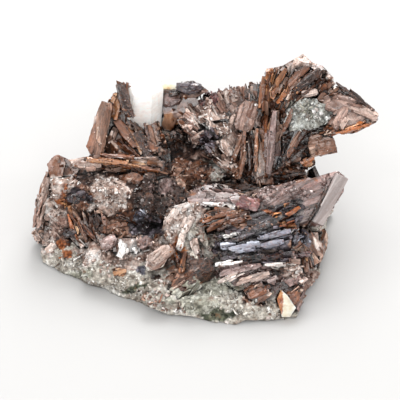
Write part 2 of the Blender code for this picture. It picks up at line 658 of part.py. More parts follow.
CLUSTERS = (
    ("white_prism", white_prism, "white"),
    ("cream_crystal", cream_crystal, "cream"),
    ("cream_cap", cream_cap, "cream"),
    ("green_chip", green_chip, "rock"),
    ("great_wedge", great_wedge, "brown"),
    ("front_wedge", front_wedge, "tan"),
    ("front_blade", front_blade, "dark"),
    ("step_stack", step_stack, "dark"),
    ("front_plates", front_plates, "tan"),
    ("right_edge_blades", right_edge_blades, "brown"),
    ("corner_crystal", corner_crystal, "tan"),
    ("left_edge_plates", left_edge_plates, "tan"),
    ("ledge_blades", ledge_blades, "brown"),
    ("cleft_blades", cleft_blades, "brown"),
    ("small_front_crystals", small_front_crystals, "tan"),
    ("grey_crystal", grey_crystal, "brown"),
    ("slab_under_prism", slab_under_prism, "dark"),
    ("upper_left_fan", upper_left_fan, "brown"),
    ("tall_blades", tall_blades, "brown"),
    ("right_spray", right_spray, "brown"),
    ("upper_block", upper_block, "tan"),
    ("lying_blades", lying_blades, "dark"),
    ("back_left_fan", lambda: outer_fan((-12, 13, 10), 125, 8.5, 5, 21), "brown"),
    ("back_middle_fan", lambda: outer_fan((1, 15.5, 11), 98, 7.5, 6, 22), "brown"),
    ("back_right_fan", lambda: outer_fan((13, 14, 12), 55, 8.0, 6, 23), "brown"),
    ("left_low_fan", lambda: outer_fan((-20, 5, 7), 160, 8.0, 5, 24), "brown"),
    ("right_low_fan", lambda: outer_fan((17, 3, 6.5), 5, 7.5, 5, 25), "dark"),
)


def build():
    for old in list(bpy.data.objects):
        bpy.data.objects.remove(old)
    foot = [(Vector((0, 0, 1)), FOOT_LEVEL - SEAT_GAP)]
    clusters, placed = [], []
    for name, maker, finish_name in CLUSTERS:
        crystals = maker()
        cluster = join(name, crystals)
        make_seats(cluster, placed + [foot])
        keep_main_piece(cluster)
        finish(cluster, finish_name)
        clusters.append(cluster)
        placed += crystals

    rng = random.Random(SEED)
    matrix = join("matrix", rock_lumps(rng) + rock_faces() + pale_ridge())
    rays = view_rays(38, 180, 128, 280, 38, rng) + view_rays(128, 252, 310, 312, 38, rng)
    rays += view_rays(128, 172, 190, 226, 32, rng) + side_rays(-30, 215, 2, 12, 7, rng)
    crust = small_crystals_on(tree_of([matrix]), tree_of(clusters), rays, 3.2, rng)
    apply_boolean(matrix, [solid(f"crust_{i}", planes) for i, planes in enumerate(crust)], "UNION")
    make_seats(matrix, placed + [foot])
    keep_main_piece(matrix)
    finish(matrix, "rock")

    low, high = zip(*(box_of(thing) for thing in [matrix, *clusters]))
    shift = Vector([-(min(a[k] for a in low) + max(b[k] for b in high)) / 2 for k in range(2)] + [0])
    for thing in [matrix, *clusters]:
        thing.data.transform(Matrix.Translation(shift))
    print("moved by, mm:", [round(value / MM, 3) for value in shift])


build()
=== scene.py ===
# %% [markdown]
# # Axinite crystals on their matrix
# The specimen is a hand-sized piece of broken rock. Clusters of brown, axe-edged axinite crystals
# grow from it, with a white quartz prism at the back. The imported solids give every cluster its
# place. This lesson dresses each of them: the faces get growth lines and chips, and crusts of
# small crystals grow over the rock.

import json
import math

import bmesh
import bpy
import numpy as np
from mathutils import Matrix, Vector, noise
from mathutils.bvhtree import BVHTree

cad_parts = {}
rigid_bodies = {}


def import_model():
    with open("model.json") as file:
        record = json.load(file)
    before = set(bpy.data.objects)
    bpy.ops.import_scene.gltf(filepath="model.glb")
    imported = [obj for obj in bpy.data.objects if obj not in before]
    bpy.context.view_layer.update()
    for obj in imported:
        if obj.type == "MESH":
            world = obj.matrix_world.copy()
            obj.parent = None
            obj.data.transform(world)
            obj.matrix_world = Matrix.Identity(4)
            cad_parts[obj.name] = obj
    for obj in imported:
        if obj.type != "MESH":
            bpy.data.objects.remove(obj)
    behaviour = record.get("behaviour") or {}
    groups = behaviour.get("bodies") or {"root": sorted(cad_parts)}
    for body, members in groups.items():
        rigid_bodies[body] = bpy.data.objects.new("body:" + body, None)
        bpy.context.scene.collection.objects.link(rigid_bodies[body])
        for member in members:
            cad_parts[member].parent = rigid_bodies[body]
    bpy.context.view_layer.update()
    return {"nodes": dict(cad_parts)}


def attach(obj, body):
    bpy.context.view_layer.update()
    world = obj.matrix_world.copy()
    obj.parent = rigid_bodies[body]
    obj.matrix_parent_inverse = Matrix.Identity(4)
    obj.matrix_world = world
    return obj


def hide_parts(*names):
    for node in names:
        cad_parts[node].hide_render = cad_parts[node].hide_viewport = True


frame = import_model()
MM = 0.001
print("nodes:", len(frame["nodes"]))

# %% [markdown]
# ## The view
# The photograph looks down at the specimen from the front at about 40 degrees. A small specimen is
# taken from some way off with a long lens, so the perspective is slight. The same camera also says
# which pixel of the photograph a point shows at, so that a stain or a crust can be put in its place.

# %% The camera
FRAME_PIXELS = 400
VIEW_TILT = math.radians(40)
VIEW_DISTANCE = 0.38
SPECIMEN_WIDTH, SPECIMEN_PIXELS = 60 * MM, 347
FRAME_HALF = SPECIMEN_WIDTH * FRAME_PIXELS / SPECIMEN_PIXELS / 2
CAD_SHIFT = Vector((-0.865, -0.059, 0)) * MM
VIEW_AIM = Vector((0, 0, 9.3 * MM)) + CAD_SHIFT
AWAY = Vector((0, math.cos(VIEW_TILT), -math.sin(VIEW_TILT)))
RIGHT = Vector((1, 0, 0))
UP = RIGHT.cross(AWAY)
EYE = VIEW_AIM - AWAY * VIEW_DISTANCE

camera_data = bpy.data.cameras.new("camera")
camera_data.sensor_width = 36
camera_data.lens = 18 * VIEW_DISTANCE / FRAME_HALF
camera_data.clip_start = 0.01
camera = bpy.data.objects.new("camera", camera_data)
camera.location = EYE
camera.rotation_euler = AWAY.to_track_quat("-Z", "Y").to_euler()
bpy.context.scene.collection.objects.link(camera)
bpy.context.scene.camera = camera
print("lens, mm:", round(camera_data.lens))


# %% Where a point shows in the photograph
def pixels_of(points):
    """The pixel, across and down, at which each point shows."""
    away = points - np.array(EYE)
    depth = away @ np.array(AWAY)
    scale = FRAME_PIXELS / 2 * VIEW_DISTANCE / FRAME_HALF
    across = FRAME_PIXELS / 2 + away @ np.array(RIGHT) / depth * scale
    down = FRAME_PIXELS / 2 - away @ np.array(UP) / depth * scale
    return across, down


def seen(across, down, height):
    """The point at a height, in mm, that shows at a pixel."""
    half = FRAME_PIXELS / 2
    ray = AWAY + (RIGHT * (across - half) + UP * (half - down)) / half * FRAME_HALF / VIEW_DISTANCE
    return EYE + ray * ((height * MM - EYE.z) / ray.z)


print("the frame's middle on the floor:", seen(200, 200, 0))

# %% [markdown]
# ## Light and floor
# The photograph is high-key: a white ground, white walls and large soft lamps. A bright world gives
# the even fill. Three large lamps above give the crystal faces something bright to mirror, and the
# dark faces mirror what lies between them. Four small ones add glints. Worlds, materials and
# scattering are all made of nodes, so the first helpers add a node and fill in its inputs.

# %% Helpers that add nodes
def feed(tree, made, inputs):
    """Gives each of a node's inputs its value, or links it from the socket that is given."""
    for name, value in inputs.items():
        if isinstance(value, bpy.types.NodeSocket):
            tree.links.new(value, made.inputs[name])
        else:
            made.inputs[name].default_value = value


def new_node(tree, kind, inputs, **settings):
    """A new node of this kind, with its settings and inputs."""
    made = tree.nodes.new(kind)
    for name, value in settings.items():
        setattr(made, name, value)
    feed(tree, made, inputs)
    return made


def spread(tree, value, low, high, to_low, to_high, **settings):
    """Maps a value from one range to another."""
    inputs = {"Value": value, "From Min": low, "From Max": high, "To Min": to_low, "To Max": to_high}
    return new_node(tree, "ShaderNodeMapRange", inputs, **settings).outputs["Result"]


print("node helpers ready")


# %% The floor, the world and the lamps
def lamp(name, place, size, power):
    """A large soft lamp that points at the specimen."""
    data = bpy.data.lights.new(name, "AREA")
    data.shape = "DISK"
    data.size = size
    data.energy = power
    made = bpy.data.objects.new(name, data)
    made.location = place
    made.rotation_euler = (Vector((0, 0, 0.01)) - Vector(place)).to_track_quat("-Z", "Y").to_euler()
    bpy.context.scene.collection.objects.link(made)


def studio_world(bright_side, low, high):
    """A pale world that is brighter on one side, so that shiny faces have something to mirror."""
    world = bpy.data.worlds.new("studio")
    world.use_nodes = True
    tree = world.node_tree
    way = tree.nodes.new("ShaderNodeTexCoord").outputs["Generated"]
    facing = new_node(tree, "ShaderNodeVectorMath", {0: way, 1: Vector(bright_side).normalized()},
                      operation="DOT_PRODUCT").outputs["Value"]
    strength = spread(tree, facing, -0.5, 0.9, low, high, interpolation_type="SMOOTHSTEP")
    feed(tree, tree.nodes["Background"], {"Color": (1.0, 0.995, 0.985, 1), "Strength": strength})
    return world


GLINTS = ((-0.36, -0.05, 0.24), (0.36, 0.02, 0.28), (-0.10, -0.24, 0.48), (0.20, -0.30, 0.36))
bpy.context.scene.view_settings.view_transform = "Standard"
bpy.context.scene.world = studio_world((0.0, 0.25, 0.97), 0.45, 0.98)
lamp("lamp_left", (-0.08, 0.26, 0.44), 0.26, 0.6)
lamp("lamp_back", (0.08, 0.34, 0.34), 0.3, 1.8)
lamp("lamp_front", (-0.04, -0.40, 0.30), 0.26, 0.65)
for number, place in enumerate(GLINTS):
    lamp(f"glint_{number}", place, 0.08, 0.10)

bpy.ops.mesh.primitive_plane_add(size=3)
floor = bpy.context.object
floor.name = "floor"
floor_paper = bpy.data.materials.new("floor_paper")
floor_paper.use_nodes = True
paper = floor_paper.node_tree.nodes["Principled BSDF"]
paper.inputs["Base Color"].default_value = (0.54, 0.536, 0.532, 1)
paper.inputs["Roughness"].default_value = 0.9
floor.data.materials.append(floor_paper)
print("lamps:", 3 + len(GLINTS))

# %% [markdown]
# ## Colours
# Axinite is clove brown, from almost black in a thick crystal to pinkish tan in a thin one. Rust
# stains the cracks, a pale crust of feldspar and quartz grains coats parts of it, and the rock below
# is grey-green. Each palette runs from its darkest colour to its palest. A grain or a patch of a
# face has a luck from 0 to 1, which picks its colour from the palette of the zone it is in.

# %% The palettes
PALETTES = {
    "brown": ((18, 6, 3), (62, 31, 19), (122, 72, 44), (128, 92, 74), (170, 134, 115), (224, 198, 181)),
    "dark": ((6, 2, 1), (22, 9, 6), (54, 31, 22), (80, 58, 50), (138, 114, 103)),
    "night": ((8, 5, 7), (28, 20, 23), (66, 56, 62), (142, 134, 144)),
    "crust": ((88, 58, 44), (158, 130, 117), (202, 180, 169), (230, 217, 210), (250, 247, 244)),
    "pink": ((100, 70, 58), (152, 122, 109), (190, 165, 153), (222, 206, 198)),
    "rust": ((66, 26, 9), (130, 66, 31), (180, 106, 56), (220, 164, 118)),
    "amber": ((40, 15, 6), (108, 60, 34), (166, 108, 68), (222, 178, 138)),
    "rock": ((108, 94, 82), (164, 154, 142), (202, 194, 182), (228, 223, 214), (246, 244, 240)),
    "mossy": ((110, 108, 95), (168, 166, 151), (204, 202, 189), (232, 231, 222)),
    "moss_dark": ((44, 50, 38), (76, 80, 62), (116, 118, 98)),
    "white": ((200, 188, 180), (234, 228, 223), (252, 251, 250)),
    # In slate the dark end is the crystal's own colour, and the pale blue end is a painted reflection on the
    # stack's faces.
    "slate": ((24, 20, 25), (62, 57, 66), (128, 128, 142), (200, 206, 220)),
    "lilac": ((70, 48, 44), (112, 86, 81), (150, 126, 122), (202, 186, 182)),
    "tan": ((96, 64, 52), (142, 108, 95), (176, 146, 134), (220, 198, 186)),
    "plum": ((40, 14, 14), (90, 46, 46), (144, 100, 98)),
    # This light grey is a painted sheen on the great wedge's smooth side face.
    "painted_sheen_grey": ((146, 132, 129), (168, 155, 152), (192, 182, 179)),
    "chip": ((136, 128, 118), (190, 190, 182), (218, 221, 216), (242, 244, 242)),
    "quartz": ((238, 229, 224), (246, 240, 236), (252, 249, 247)),
    "cream": ((226, 204, 170), (240, 226, 202), (248, 241, 228)),
}


def linear(colour):
    """A colour of 0 to 255 as the shader's linear numbers."""
    part = np.array(colour, float) / 255
    return np.where(part <= 0.04045, part / 12.92, ((part + 0.055) / 1.055) ** 2.4)


PALETTES = {name: np.array([linear(colour) for colour in colours]) for name, colours in PALETTES.items()}
print("palettes:", len(PALETTES))

# %% [markdown]
# ## Zones
# The places were read in the photograph: a palette, the pixel at the zone's middle, its half
# width and half height in pixels, and how far it is turned clockwise. A later zone lies over an
# earlier one. Noise frays the edges, so no zone shows as an oval.

# %% The zones
# The dark and night zones in the central cleft, at (147, 228), (158, 197), (185, 155) and (238, 184), and in the
# hollows by the golden bundle, at (92, 176) and (135, 172), are painted shade.
ZONES = (
    ("brown", 120, 200, 90, 60, 0), ("dark", 92, 176, 16, 7, 0), ("dark", 135, 172, 17, 4, 0),
    ("crust", 107, 196, 22, 21, 0), ("crust", 64, 183, 17, 9, 0), ("pink", 88, 164, 19, 5, 0),
    ("night", 77, 198, 13, 8, 0), ("rust", 57, 196, 7, 5, 0), ("rust", 63, 203, 9, 3, 0),
    ("rust", 65, 185, 3, 4, 0), ("tan", 55, 222, 15, 17, 0), ("rust", 44, 223, 3, 3, 0),
    ("brown", 79, 222, 11, 17, -25), ("dark", 96, 226, 10, 15, -20), ("brown", 117, 224, 14, 9, 0),
    ("crust", 51, 248, 8, 10, 0), ("rock", 72, 266, 30, 21, 0), ("mossy", 70, 278, 24, 6, -15),
    ("crust", 95, 253, 22, 10, 0), ("dark", 70, 233, 9, 7, 0), ("rust", 61, 245, 4, 6, 0),
    ("rust", 69, 254, 6, 4, 0), ("crust", 128, 255, 26, 15, 0), ("tan", 109, 242, 9, 8, 0),
    # The white zones at (122, 250), (134, 252) and (144, 251) are painted glints.
    ("tan", 144, 242, 8, 8, 0), ("white", 122, 250, 7, 8, 20), ("white", 134, 252, 4, 6, 0),
    ("white", 144, 251, 5, 3, 0), ("rock", 125, 283, 40, 13, -14), ("amber", 120, 271, 11, 7, 0),
    ("moss_dark", 135, 288, 16, 3, -24), ("slate", 140, 271, 4, 5, 0), ("dark", 158, 277, 5, 5, 0),
    ("dark", 158, 197, 30, 28, 0), ("lilac", 165, 190, 12, 8, 0), ("slate", 142, 216, 8, 6, 0),
    ("night", 147, 228, 18, 13, 0), ("dark", 185, 155, 30, 26, 0), ("brown", 187, 172, 20, 10, 0),
    ("crust", 184, 226, 19, 27, 25), ("white", 224, 205, 16, 3, 6), ("rock", 190, 240, 9, 16, 0),
    ("pink", 158, 255, 14, 11, 40), ("rust", 178, 256, 9, 14, 10), ("dark", 181, 262, 8, 12, 0),
    ("brown", 186, 281, 20, 10, 30), ("lilac", 220, 194, 30, 11, 0), ("brown", 248, 204, 11, 9, 0),
    ("dark", 238, 184, 26, 9, 0), ("brown", 225, 218, 24, 12, 0), ("night", 254, 248, 40, 19, 8),
    ("slate", 246, 248, 18, 5, 10), ("slate", 272, 235, 16, 4, 12), ("white", 231, 236, 8, 2, 8),
    ("white", 231, 264, 11, 2, 6), ("white", 275, 265, 11, 2, 3), ("brown", 306, 246, 14, 18, 0),
    ("slate", 302, 238, 7, 7, 0), ("crust", 316, 243, 4, 9, 0), ("amber", 302, 255, 9, 4, 0),
    ("rust", 281, 219, 24, 3, 32), ("rust", 289, 204, 5, 2, 0), ("mossy", 222, 297, 52, 20, 0),
    ("rock", 250, 304, 40, 14, 0), ("moss_dark", 218, 316, 16, 5, 0), ("lilac", 246, 272, 28, 9, 0),
    ("dark", 278, 272, 8, 5, 0), ("crust", 293, 272, 9, 8, 0), ("brown", 258, 293, 14, 9, 0),
    ("brown", 294, 298, 8, 9, 0), ("tan", 309, 278, 11, 12, 0),
    ("brown", 108, 128, 22, 34, 0), ("pink", 98, 134, 8, 24, 15), ("dark", 124, 121, 6, 6, 0),
    ("dark", 118, 135, 9, 6, 0), ("white", 111, 122, 2, 4, 0), ("rust", 116, 110, 5, 8, 0),
    ("brown", 133, 142, 20, 20, 0), ("amber", 120, 163, 34, 5, 4), ("lilac", 168, 104, 10, 8, 0),
    ("brown", 188, 106, 17, 13, 0), ("rust", 190, 108, 12, 5, 10), ("night", 189, 87, 15, 7, 0),
    ("tan", 225, 120, 46, 42, 0), ("plum", 213, 99, 9, 8, 0), ("pink", 233, 100, 13, 8, 0),
    ("crust", 214, 132, 18, 26, -25), ("night", 206, 140, 8, 12, -25), ("crust", 226, 160, 12, 8, 35),
    ("tan", 246, 117, 15, 17, 0), ("crust", 256, 106, 7, 7, 0), ("brown", 250, 152, 14, 24, 0),
    ("rust", 266, 120, 4, 48, 0), ("lilac", 272, 142, 6, 34, 5), ("slate", 279, 156, 4, 10, 0),
    ("brown", 300, 100, 40, 46, 0), ("crust", 298, 65, 15, 9, 0), ("crust", 320, 71, 9, 8, 0),
    ("amber", 277, 86, 13, 16, 0), ("dark", 307, 82, 16, 12, -35), ("rust", 297, 90, 6, 5, 0),
    ("pink", 310, 93, 9, 5, 0), ("mossy", 311, 114, 25, 15, 0), ("tan", 352, 108, 26, 20, 25),
    ("rust", 350, 130, 20, 4, -15), ("dark", 335, 102, 4, 5, 0), ("dark", 352, 97, 16, 3, 32),
    ("brown", 322, 145, 17, 14, 0), ("amber", 306, 160, 8, 6, 0), ("dark", 291, 150, 9, 28, 0),
    ("brown", 280, 174, 30, 9, 0), ("crust", 50, 212, 9, 24, 8), ("dark", 300, 150, 12, 16, 0),
)
print("zones:", len(ZONES))


# %% [markdown]
# ## The outline
# The outline of the specimen was read in the photograph too. Crystals that are scattered by chance
# may not stand out past it, because its notches and points are what one knows the specimen by.

# %% The outline
OUTLINE = (
    (49, 160), (57, 154), (70, 160), (92, 155), (93, 140), (95, 125), (99, 113), (109, 98), (114, 92),
    (115, 80), (125, 81), (133, 78), (160, 78), (176, 79), (192, 81), (210, 89), (235, 83), (262, 81),
    (266, 69), (282, 66), (298, 57), (303, 54), (313, 63), (323, 66), (333, 77), (338, 86), (355, 97),
    (370, 106), (379, 114), (377, 122), (352, 135), (332, 135), (339, 153), (314, 157), (316, 165),
    (304, 173), (310, 179), (338, 170), (347, 178), (347, 189), (339, 203), (323, 225), (328, 235),
    (327, 248), (319, 266), (321, 276), (309, 291), (303, 306), (296, 318), (270, 321), (245, 320),
    (235, 325), (220, 324), (205, 320), (190, 316), (168, 315), (155, 309), (120, 297), (105, 291),
    (85, 283), (60, 272), (42, 263), (40, 248), (30, 233), (37, 228), (35, 198), (45, 175),
)


def inside_outline(spots, slack=0.8):
    """Whether each spot shows inside the photograph's outline, give or take this many pixels."""
    across, down = pixels_of(spots)
    half = FRAME_PIXELS / 2
    far = np.hypot(across - half, down - half) + 1e-6
    across, down = across - (across - half) / far * slack, down - (down - half) / far * slack
    inside = np.zeros(len(spots), bool)
    for (left, top), (right, bottom) in zip(OUTLINE, OUTLINE[1:] + OUTLINE[:1]):
        if top != bottom:
            crosses = (top > down) != (bottom > down)
            inside ^= crosses & (across < (right - left) * (down - top) / (bottom - top) + left)
    return inside


print("the middle is inside:", inside_outline(np.array([seen(200, 200, 0)])))


# %% Drawing a piece in to the outline
def draw_in(piece, most=14):
    """Moves points that show up to this many pixels outside the photograph's outline onto it."""
    spots = points_of(piece.data)
    out = ~inside_outline(spots, slack=0)
    across, down = pixels_of(spots[out])
    nearest, move = np.full(len(across), 1e9), np.zeros((len(across), 2))
    for (left, top), (right, bottom) in zip(OUTLINE, OUTLINE[1:] + OUTLINE[:1]):
        edge = np.array((right - left, bottom - top), float)
        share = np.clip(((across - left) * edge[0] + (down - top) * edge[1]) / (edge @ edge), 0, 1)
        offset = np.stack([left + share * edge[0] - across, top + share * edge[1] - down], 1)
        gap = np.hypot(*offset.T)
        closer = gap < nearest
        nearest[closer], move[closer] = gap[closer], offset[closer]
    move[nearest > most] = 0
    move *= SPECIMEN_WIDTH / SPECIMEN_PIXELS
    spots[out] += move[:, :1] * np.array(RIGHT) - move[:, 1:] * np.array(UP)
    piece.data.vertices.foreach_set("co", spots.ravel())
    piece.data.update()


# %% Noise for many points at once
def cloud(points, size, seed):
    """A smooth noise of this size in mm, from 0 to 1, at each point."""
    offset = Vector((seed * 7.31, seed * 3.17, seed * 5.73))
    scale = 1 / (size * MM)
    values = [noise.noise(Vector(point) * scale + offset) for point in points]
    return np.clip(np.array(values) * 0.75 + 0.5, 0, 1)


def pick(palette, luck):
    """The palette's colour at each luck."""
    stops = np.linspace(0, 1, len(palette))
    return np.stack([np.interp(luck, stops, palette[:, channel]) for channel in range(3)], axis=1)


print("a colour:", pick(PALETTES["brown"], np.array([0.5])))


# %% Colour by zone
def oval(right, off, wide, high, turn):
    """How far each spot lies from the middle of a turned oval, squared, where 1 is the oval's edge."""
    angle = math.radians(turn)
    along = (right * math.cos(angle) + off * math.sin(angle)) / wide
    aside = (off * math.cos(angle) - right * math.sin(angle)) / high
    return along**2 + aside**2


def colours_at(spots, luck, ground, zones):
    """The colour of each spot: its zone's palette, or the ground palette where it is in no zone."""
    across, down = pixels_of(spots)
    fray = cloud(spots, 1.3, 3)
    sway, dip = (cloud(spots, 2.2, 1) - 0.5) * 13, (cloud(spots, 2.2, 2) - 0.5) * 13
    colour = pick(PALETTES[ground], luck)
    for palette, middle, level, wide, high, turn in zones:
        loose = min(1, min(wide, high) / 8)
        right, below = across + sway * loose - middle, down + dip * loose - level
        inside = oval(right, below, wide, high, turn) < 0.55 + 0.9 * fray
        colour[inside] = pick(PALETTES[palette], luck[inside])
    return colour


def points_of(mesh, attribute=None):
    """The mesh's points, or a vector that an attribute holds for each of them."""
    values = np.empty(len(mesh.vertices) * 3, np.float32)
    if attribute:
        mesh.attributes[attribute].data.foreach_get("vector", values)
    else:
        mesh.vertices.foreach_get("co", values)
    return values.reshape(-1, 3).astype(float)


def normals_of(mesh):
    """The way out at each of the mesh's points."""
    normals = np.empty(len(mesh.vertices) * 3, np.float32)
    mesh.vertices.foreach_get("normal", normals)
    return normals.reshape(-1, 3)


def write(mesh, name, kind, key, values):
    """Writes an attribute, with a row of values for each of the mesh's points."""
    attribute = mesh.attributes.new(name, kind, "POINT")
    attribute.data.foreach_set(key, values.astype(np.float32).ravel())


def write_tone(mesh, colour):
    """Writes the attribute tone, the colour of each point."""
    write(mesh, "tone", "FLOAT_COLOR", "color", np.hstack([colour, np.ones((len(colour), 1))]))


def face_luck(piece):
    """One number for each way that a face looks, so that a flat face has one luck all over."""
    normals = normals_of(piece.data)
    return cloud(normals * 3 * MM, 1, normals.size % 17)


def paint(piece, ground, zones=ZONES, heart=None, faces=None):
    """Writes the attribute tone. A crust has one colour for each grain, and a face has one luck with
    streaks. The attribute growth holds lines that run away from the heart of the cluster."""
    mesh = piece.data
    growth = points_of(mesh)
    if heart:
        outward = growth - np.array(heart)
        far = np.sqrt((outward**2).sum(axis=1, keepdims=True))
        growth = outward / far * far.mean()
        growth[:, 2:] += far * 0.08
        write(mesh, "growth", "FLOAT_VECTOR", "vector", growth)
    if "heart" in mesh.attributes:
        luck = np.empty(len(mesh.vertices), np.float32)
        mesh.attributes["luck"].data.foreach_get("value", luck)
        hearts = np.hstack([points_of(mesh, "heart"), luck[:, None]])
        grains, whose = np.unique(hearts.round(7), axis=0, return_inverse=True)
        spots, luck = grains[:, :3], grains[:, 3]
    else:
        spots, whose = points_of(mesh), slice(None)
        chance = np.random.default_rng(len(spots)).random(len(spots))
        luck = cloud(growth, 0.7, 5) * 0.5 + cloud(spots, 2.4, 6) * 0.4 + chance * 0.1
        luck = luck if faces is None else luck * 0.55 + faces * 0.45
        luck = np.clip((luck - 0.5) * 1.6 + 0.5, 0, 1)
    colour = colours_at(spots, luck, ground, zones)
    write_tone(mesh, colour[whose.ravel() if isinstance(whose, np.ndarray) else whose])


# %% [markdown]
# ## Materials
# A crystal's colour comes from the painted tone. Over it lie growth lines, a dark and pale mottle
# of bubbles and cracks, veins of rust, and white specks. Cracks and hollows get a painted shade,
# darker the less open sky they see. Faces are etched here and there, so the
# gloss changes from spot to spot.


# %% Helpers for materials
def new_material(name):
    """A material, its node tree, and each point's place on the piece."""
    material = bpy.data.materials.new(name)
    material.use_nodes = True
    tree = material.node_tree
    return material, tree, tree.nodes.new("ShaderNodeTexCoord").outputs["Object"]


def attribute_of(tree, name, output):
    """What a mesh attribute holds."""
    return new_node(tree, "ShaderNodeAttribute", {}, attribute_name=name).outputs[output]


def noise_of(tree, vector, scale, detail, rough):
    """A noise, about 0.5 in the middle."""
    inputs = {"Vector": vector, "Scale": scale, "Detail": detail, "Roughness": rough}
    return new_node(tree, "ShaderNodeTexNoise", inputs).outputs["Fac"]


def combine(tree, kind, first, second):
    """A math node on two sockets, or on a socket and a number."""
    return new_node(tree, "ShaderNodeMath", {0: first, 1: second}, operation=kind).outputs[0]


def on_vectors(tree, kind, inputs):
    """A vector math node."""
    return new_node(tree, "ShaderNodeVectorMath", inputs, operation=kind).outputs[0]


def scaled(tree, colour, factor):
    """A colour made paler or darker by a factor."""
    return on_vectors(tree, "SCALE", {0: colour, "Scale": factor})


def laid_over(tree, colour, over, mask):
    """A colour laid over another where the mask is 1."""
    inputs = {"Factor": mask, "A": colour, "B": (*linear(over), 1)}
    return new_node(tree, "ShaderNodeMix", inputs, data_type="RGBA").outputs["Result"]


def hollow_shade(tree, reach, darkest):
    """A painted shade: near 1 on open faces, and the darkest value deep in a crack."""
    open_sky = new_node(tree, "ShaderNodeAmbientOcclusion", {"Distance": reach * MM}, samples=6)
    return spread(tree, open_sky.outputs["AO"], 0.15, 0.8, darkest, 1.0)


def bumped(tree, height, strength, distance, **under):
    """A normal bumped by a height, over another normal if there is one. The distance is in mm."""
    inputs = {"Height": height, "Strength": strength, "Distance": distance * MM, **under}
    return new_node(tree, "ShaderNodeBump", inputs).outputs["Normal"]


# %% Facets
def cells_of(tree, vector, scale):
    """The random colour of each Voronoi cell, whole and split in its three numbers."""
    colour = new_node(tree, "ShaderNodeTexVoronoi", {"Vector": vector, "Scale": scale}).outputs["Color"]
    return colour, new_node(tree, "ShaderNodeSeparateColor", {"Color": colour}).outputs


def faceted(tree, vector, scale, tilt):
    """Small flat facets, as on a broken or many-stepped crystal. Each Voronoi cell tilts the surface
    its own way, so that some facets flash and others are dark. It returns the normal and each
    cell's random number."""
    colour, numbers = cells_of(tree, vector, scale)
    centred = on_vectors(tree, "SUBTRACT", {0: colour, 1: (0.5, 0.5, 0.5)})
    surface = tree.nodes.new("ShaderNodeNewGeometry").outputs["Normal"]
    tilted = on_vectors(tree, "MULTIPLY_ADD", {0: centred, 1: (tilt, tilt, tilt), 2: surface})
    return on_vectors(tree, "NORMALIZE", {0: tilted}), numbers["Green"]


# %% The crystal material
def crystal_material(name, gloss=(0.08, 0.3), rust=0.5, specks=0.5, mottle=0.48, bump=0.3, coat=0.4,
                     darkest=0.025, reach=3.1, cell=1300, tilt=0.5, grown=True):
    """Glassy axinite. Where it is grown, lines and facets follow the attribute growth."""
    material, tree, place = new_material(name)
    along = attribute_of(tree, "growth", "Vector") if grown else place
    streak = noise_of(tree, along, 2600, 4.0, 0.7)
    fine = noise_of(tree, place, 3800, 4.0, 0.75)
    broad = noise_of(tree, place, 700, 3.0, 0.6)
    facets, chance = faceted(tree, along, cell, tilt)

    lines = spread(tree, streak, 0.38, 0.64, 1 - 0.9 * mottle, 1 + 1.1 * mottle)
    spots = spread(tree, fine, 0.36, 0.66, 1 - 0.4 * mottle, 1 + 0.5 * mottle)
    patches = spread(tree, chance, 0, 1, 1 - 1.1 * mottle, 1 + 1.3 * mottle)
    shade = combine(tree, "MULTIPLY", combine(tree, "MULTIPLY", lines, spots), patches)
    colour = scaled(tree, attribute_of(tree, "tone", "Color"), shade)

    vein = combine(tree, "ABSOLUTE", combine(tree, "SUBTRACT", broad, 0.5), 0)
    colour = laid_over(tree, colour, (140, 80, 42), spread(tree, vein, 0.008, 0.03, 0.7 * rust, 0))
    colour = laid_over(tree, colour, (222, 208, 200), spread(tree, fine, 0.64, 0.71, 0, 0.8 * specks))
    ridges = combine(tree, "ADD", combine(tree, "MULTIPLY", streak, 1.8), fine)
    # The base colour gets a painted shade in cracks and hollows.
    feed(tree, tree.nodes["Principled BSDF"], {
        "Base Color": scaled(tree, colour, hollow_shade(tree, reach, darkest)),
        "Roughness": spread(tree, broad, 0.35, 0.65, *gloss),
        "IOR": 1.6,
        "Coat Weight": coat,
        "Coat Roughness": 0.06,
        "Normal": bumped(tree, ridges, bump, 0.12, Normal=facets),
    })
    return material


crystal = crystal_material("axinite")
smooth_crystal = crystal_material(
    "smooth_axinite", rust=0.12, specks=0.1, mottle=0.16, bump=0.12, cell=700, tilt=0.1)
striated_crystal = crystal_material(
    "striated_axinite", gloss=(0.05, 0.2), rust=0.1, specks=0.1, mottle=0.4, bump=0.35, coat=0.6,
    cell=1500, tilt=0.45)
blade_glass = crystal_material(
    "axinite_blades", gloss=(0.06, 0.25), rust=0.4, specks=0.35, mottle=0.36, cell=1600, tilt=0.35)
grain_glass = crystal_material(
    "axinite_grains", rust=0.2, specks=0.3, mottle=0.22, bump=0.12, darkest=0.12, reach=1.5,
    cell=2600, tilt=0.3, grown=False)
print("materials:", len(bpy.data.materials))


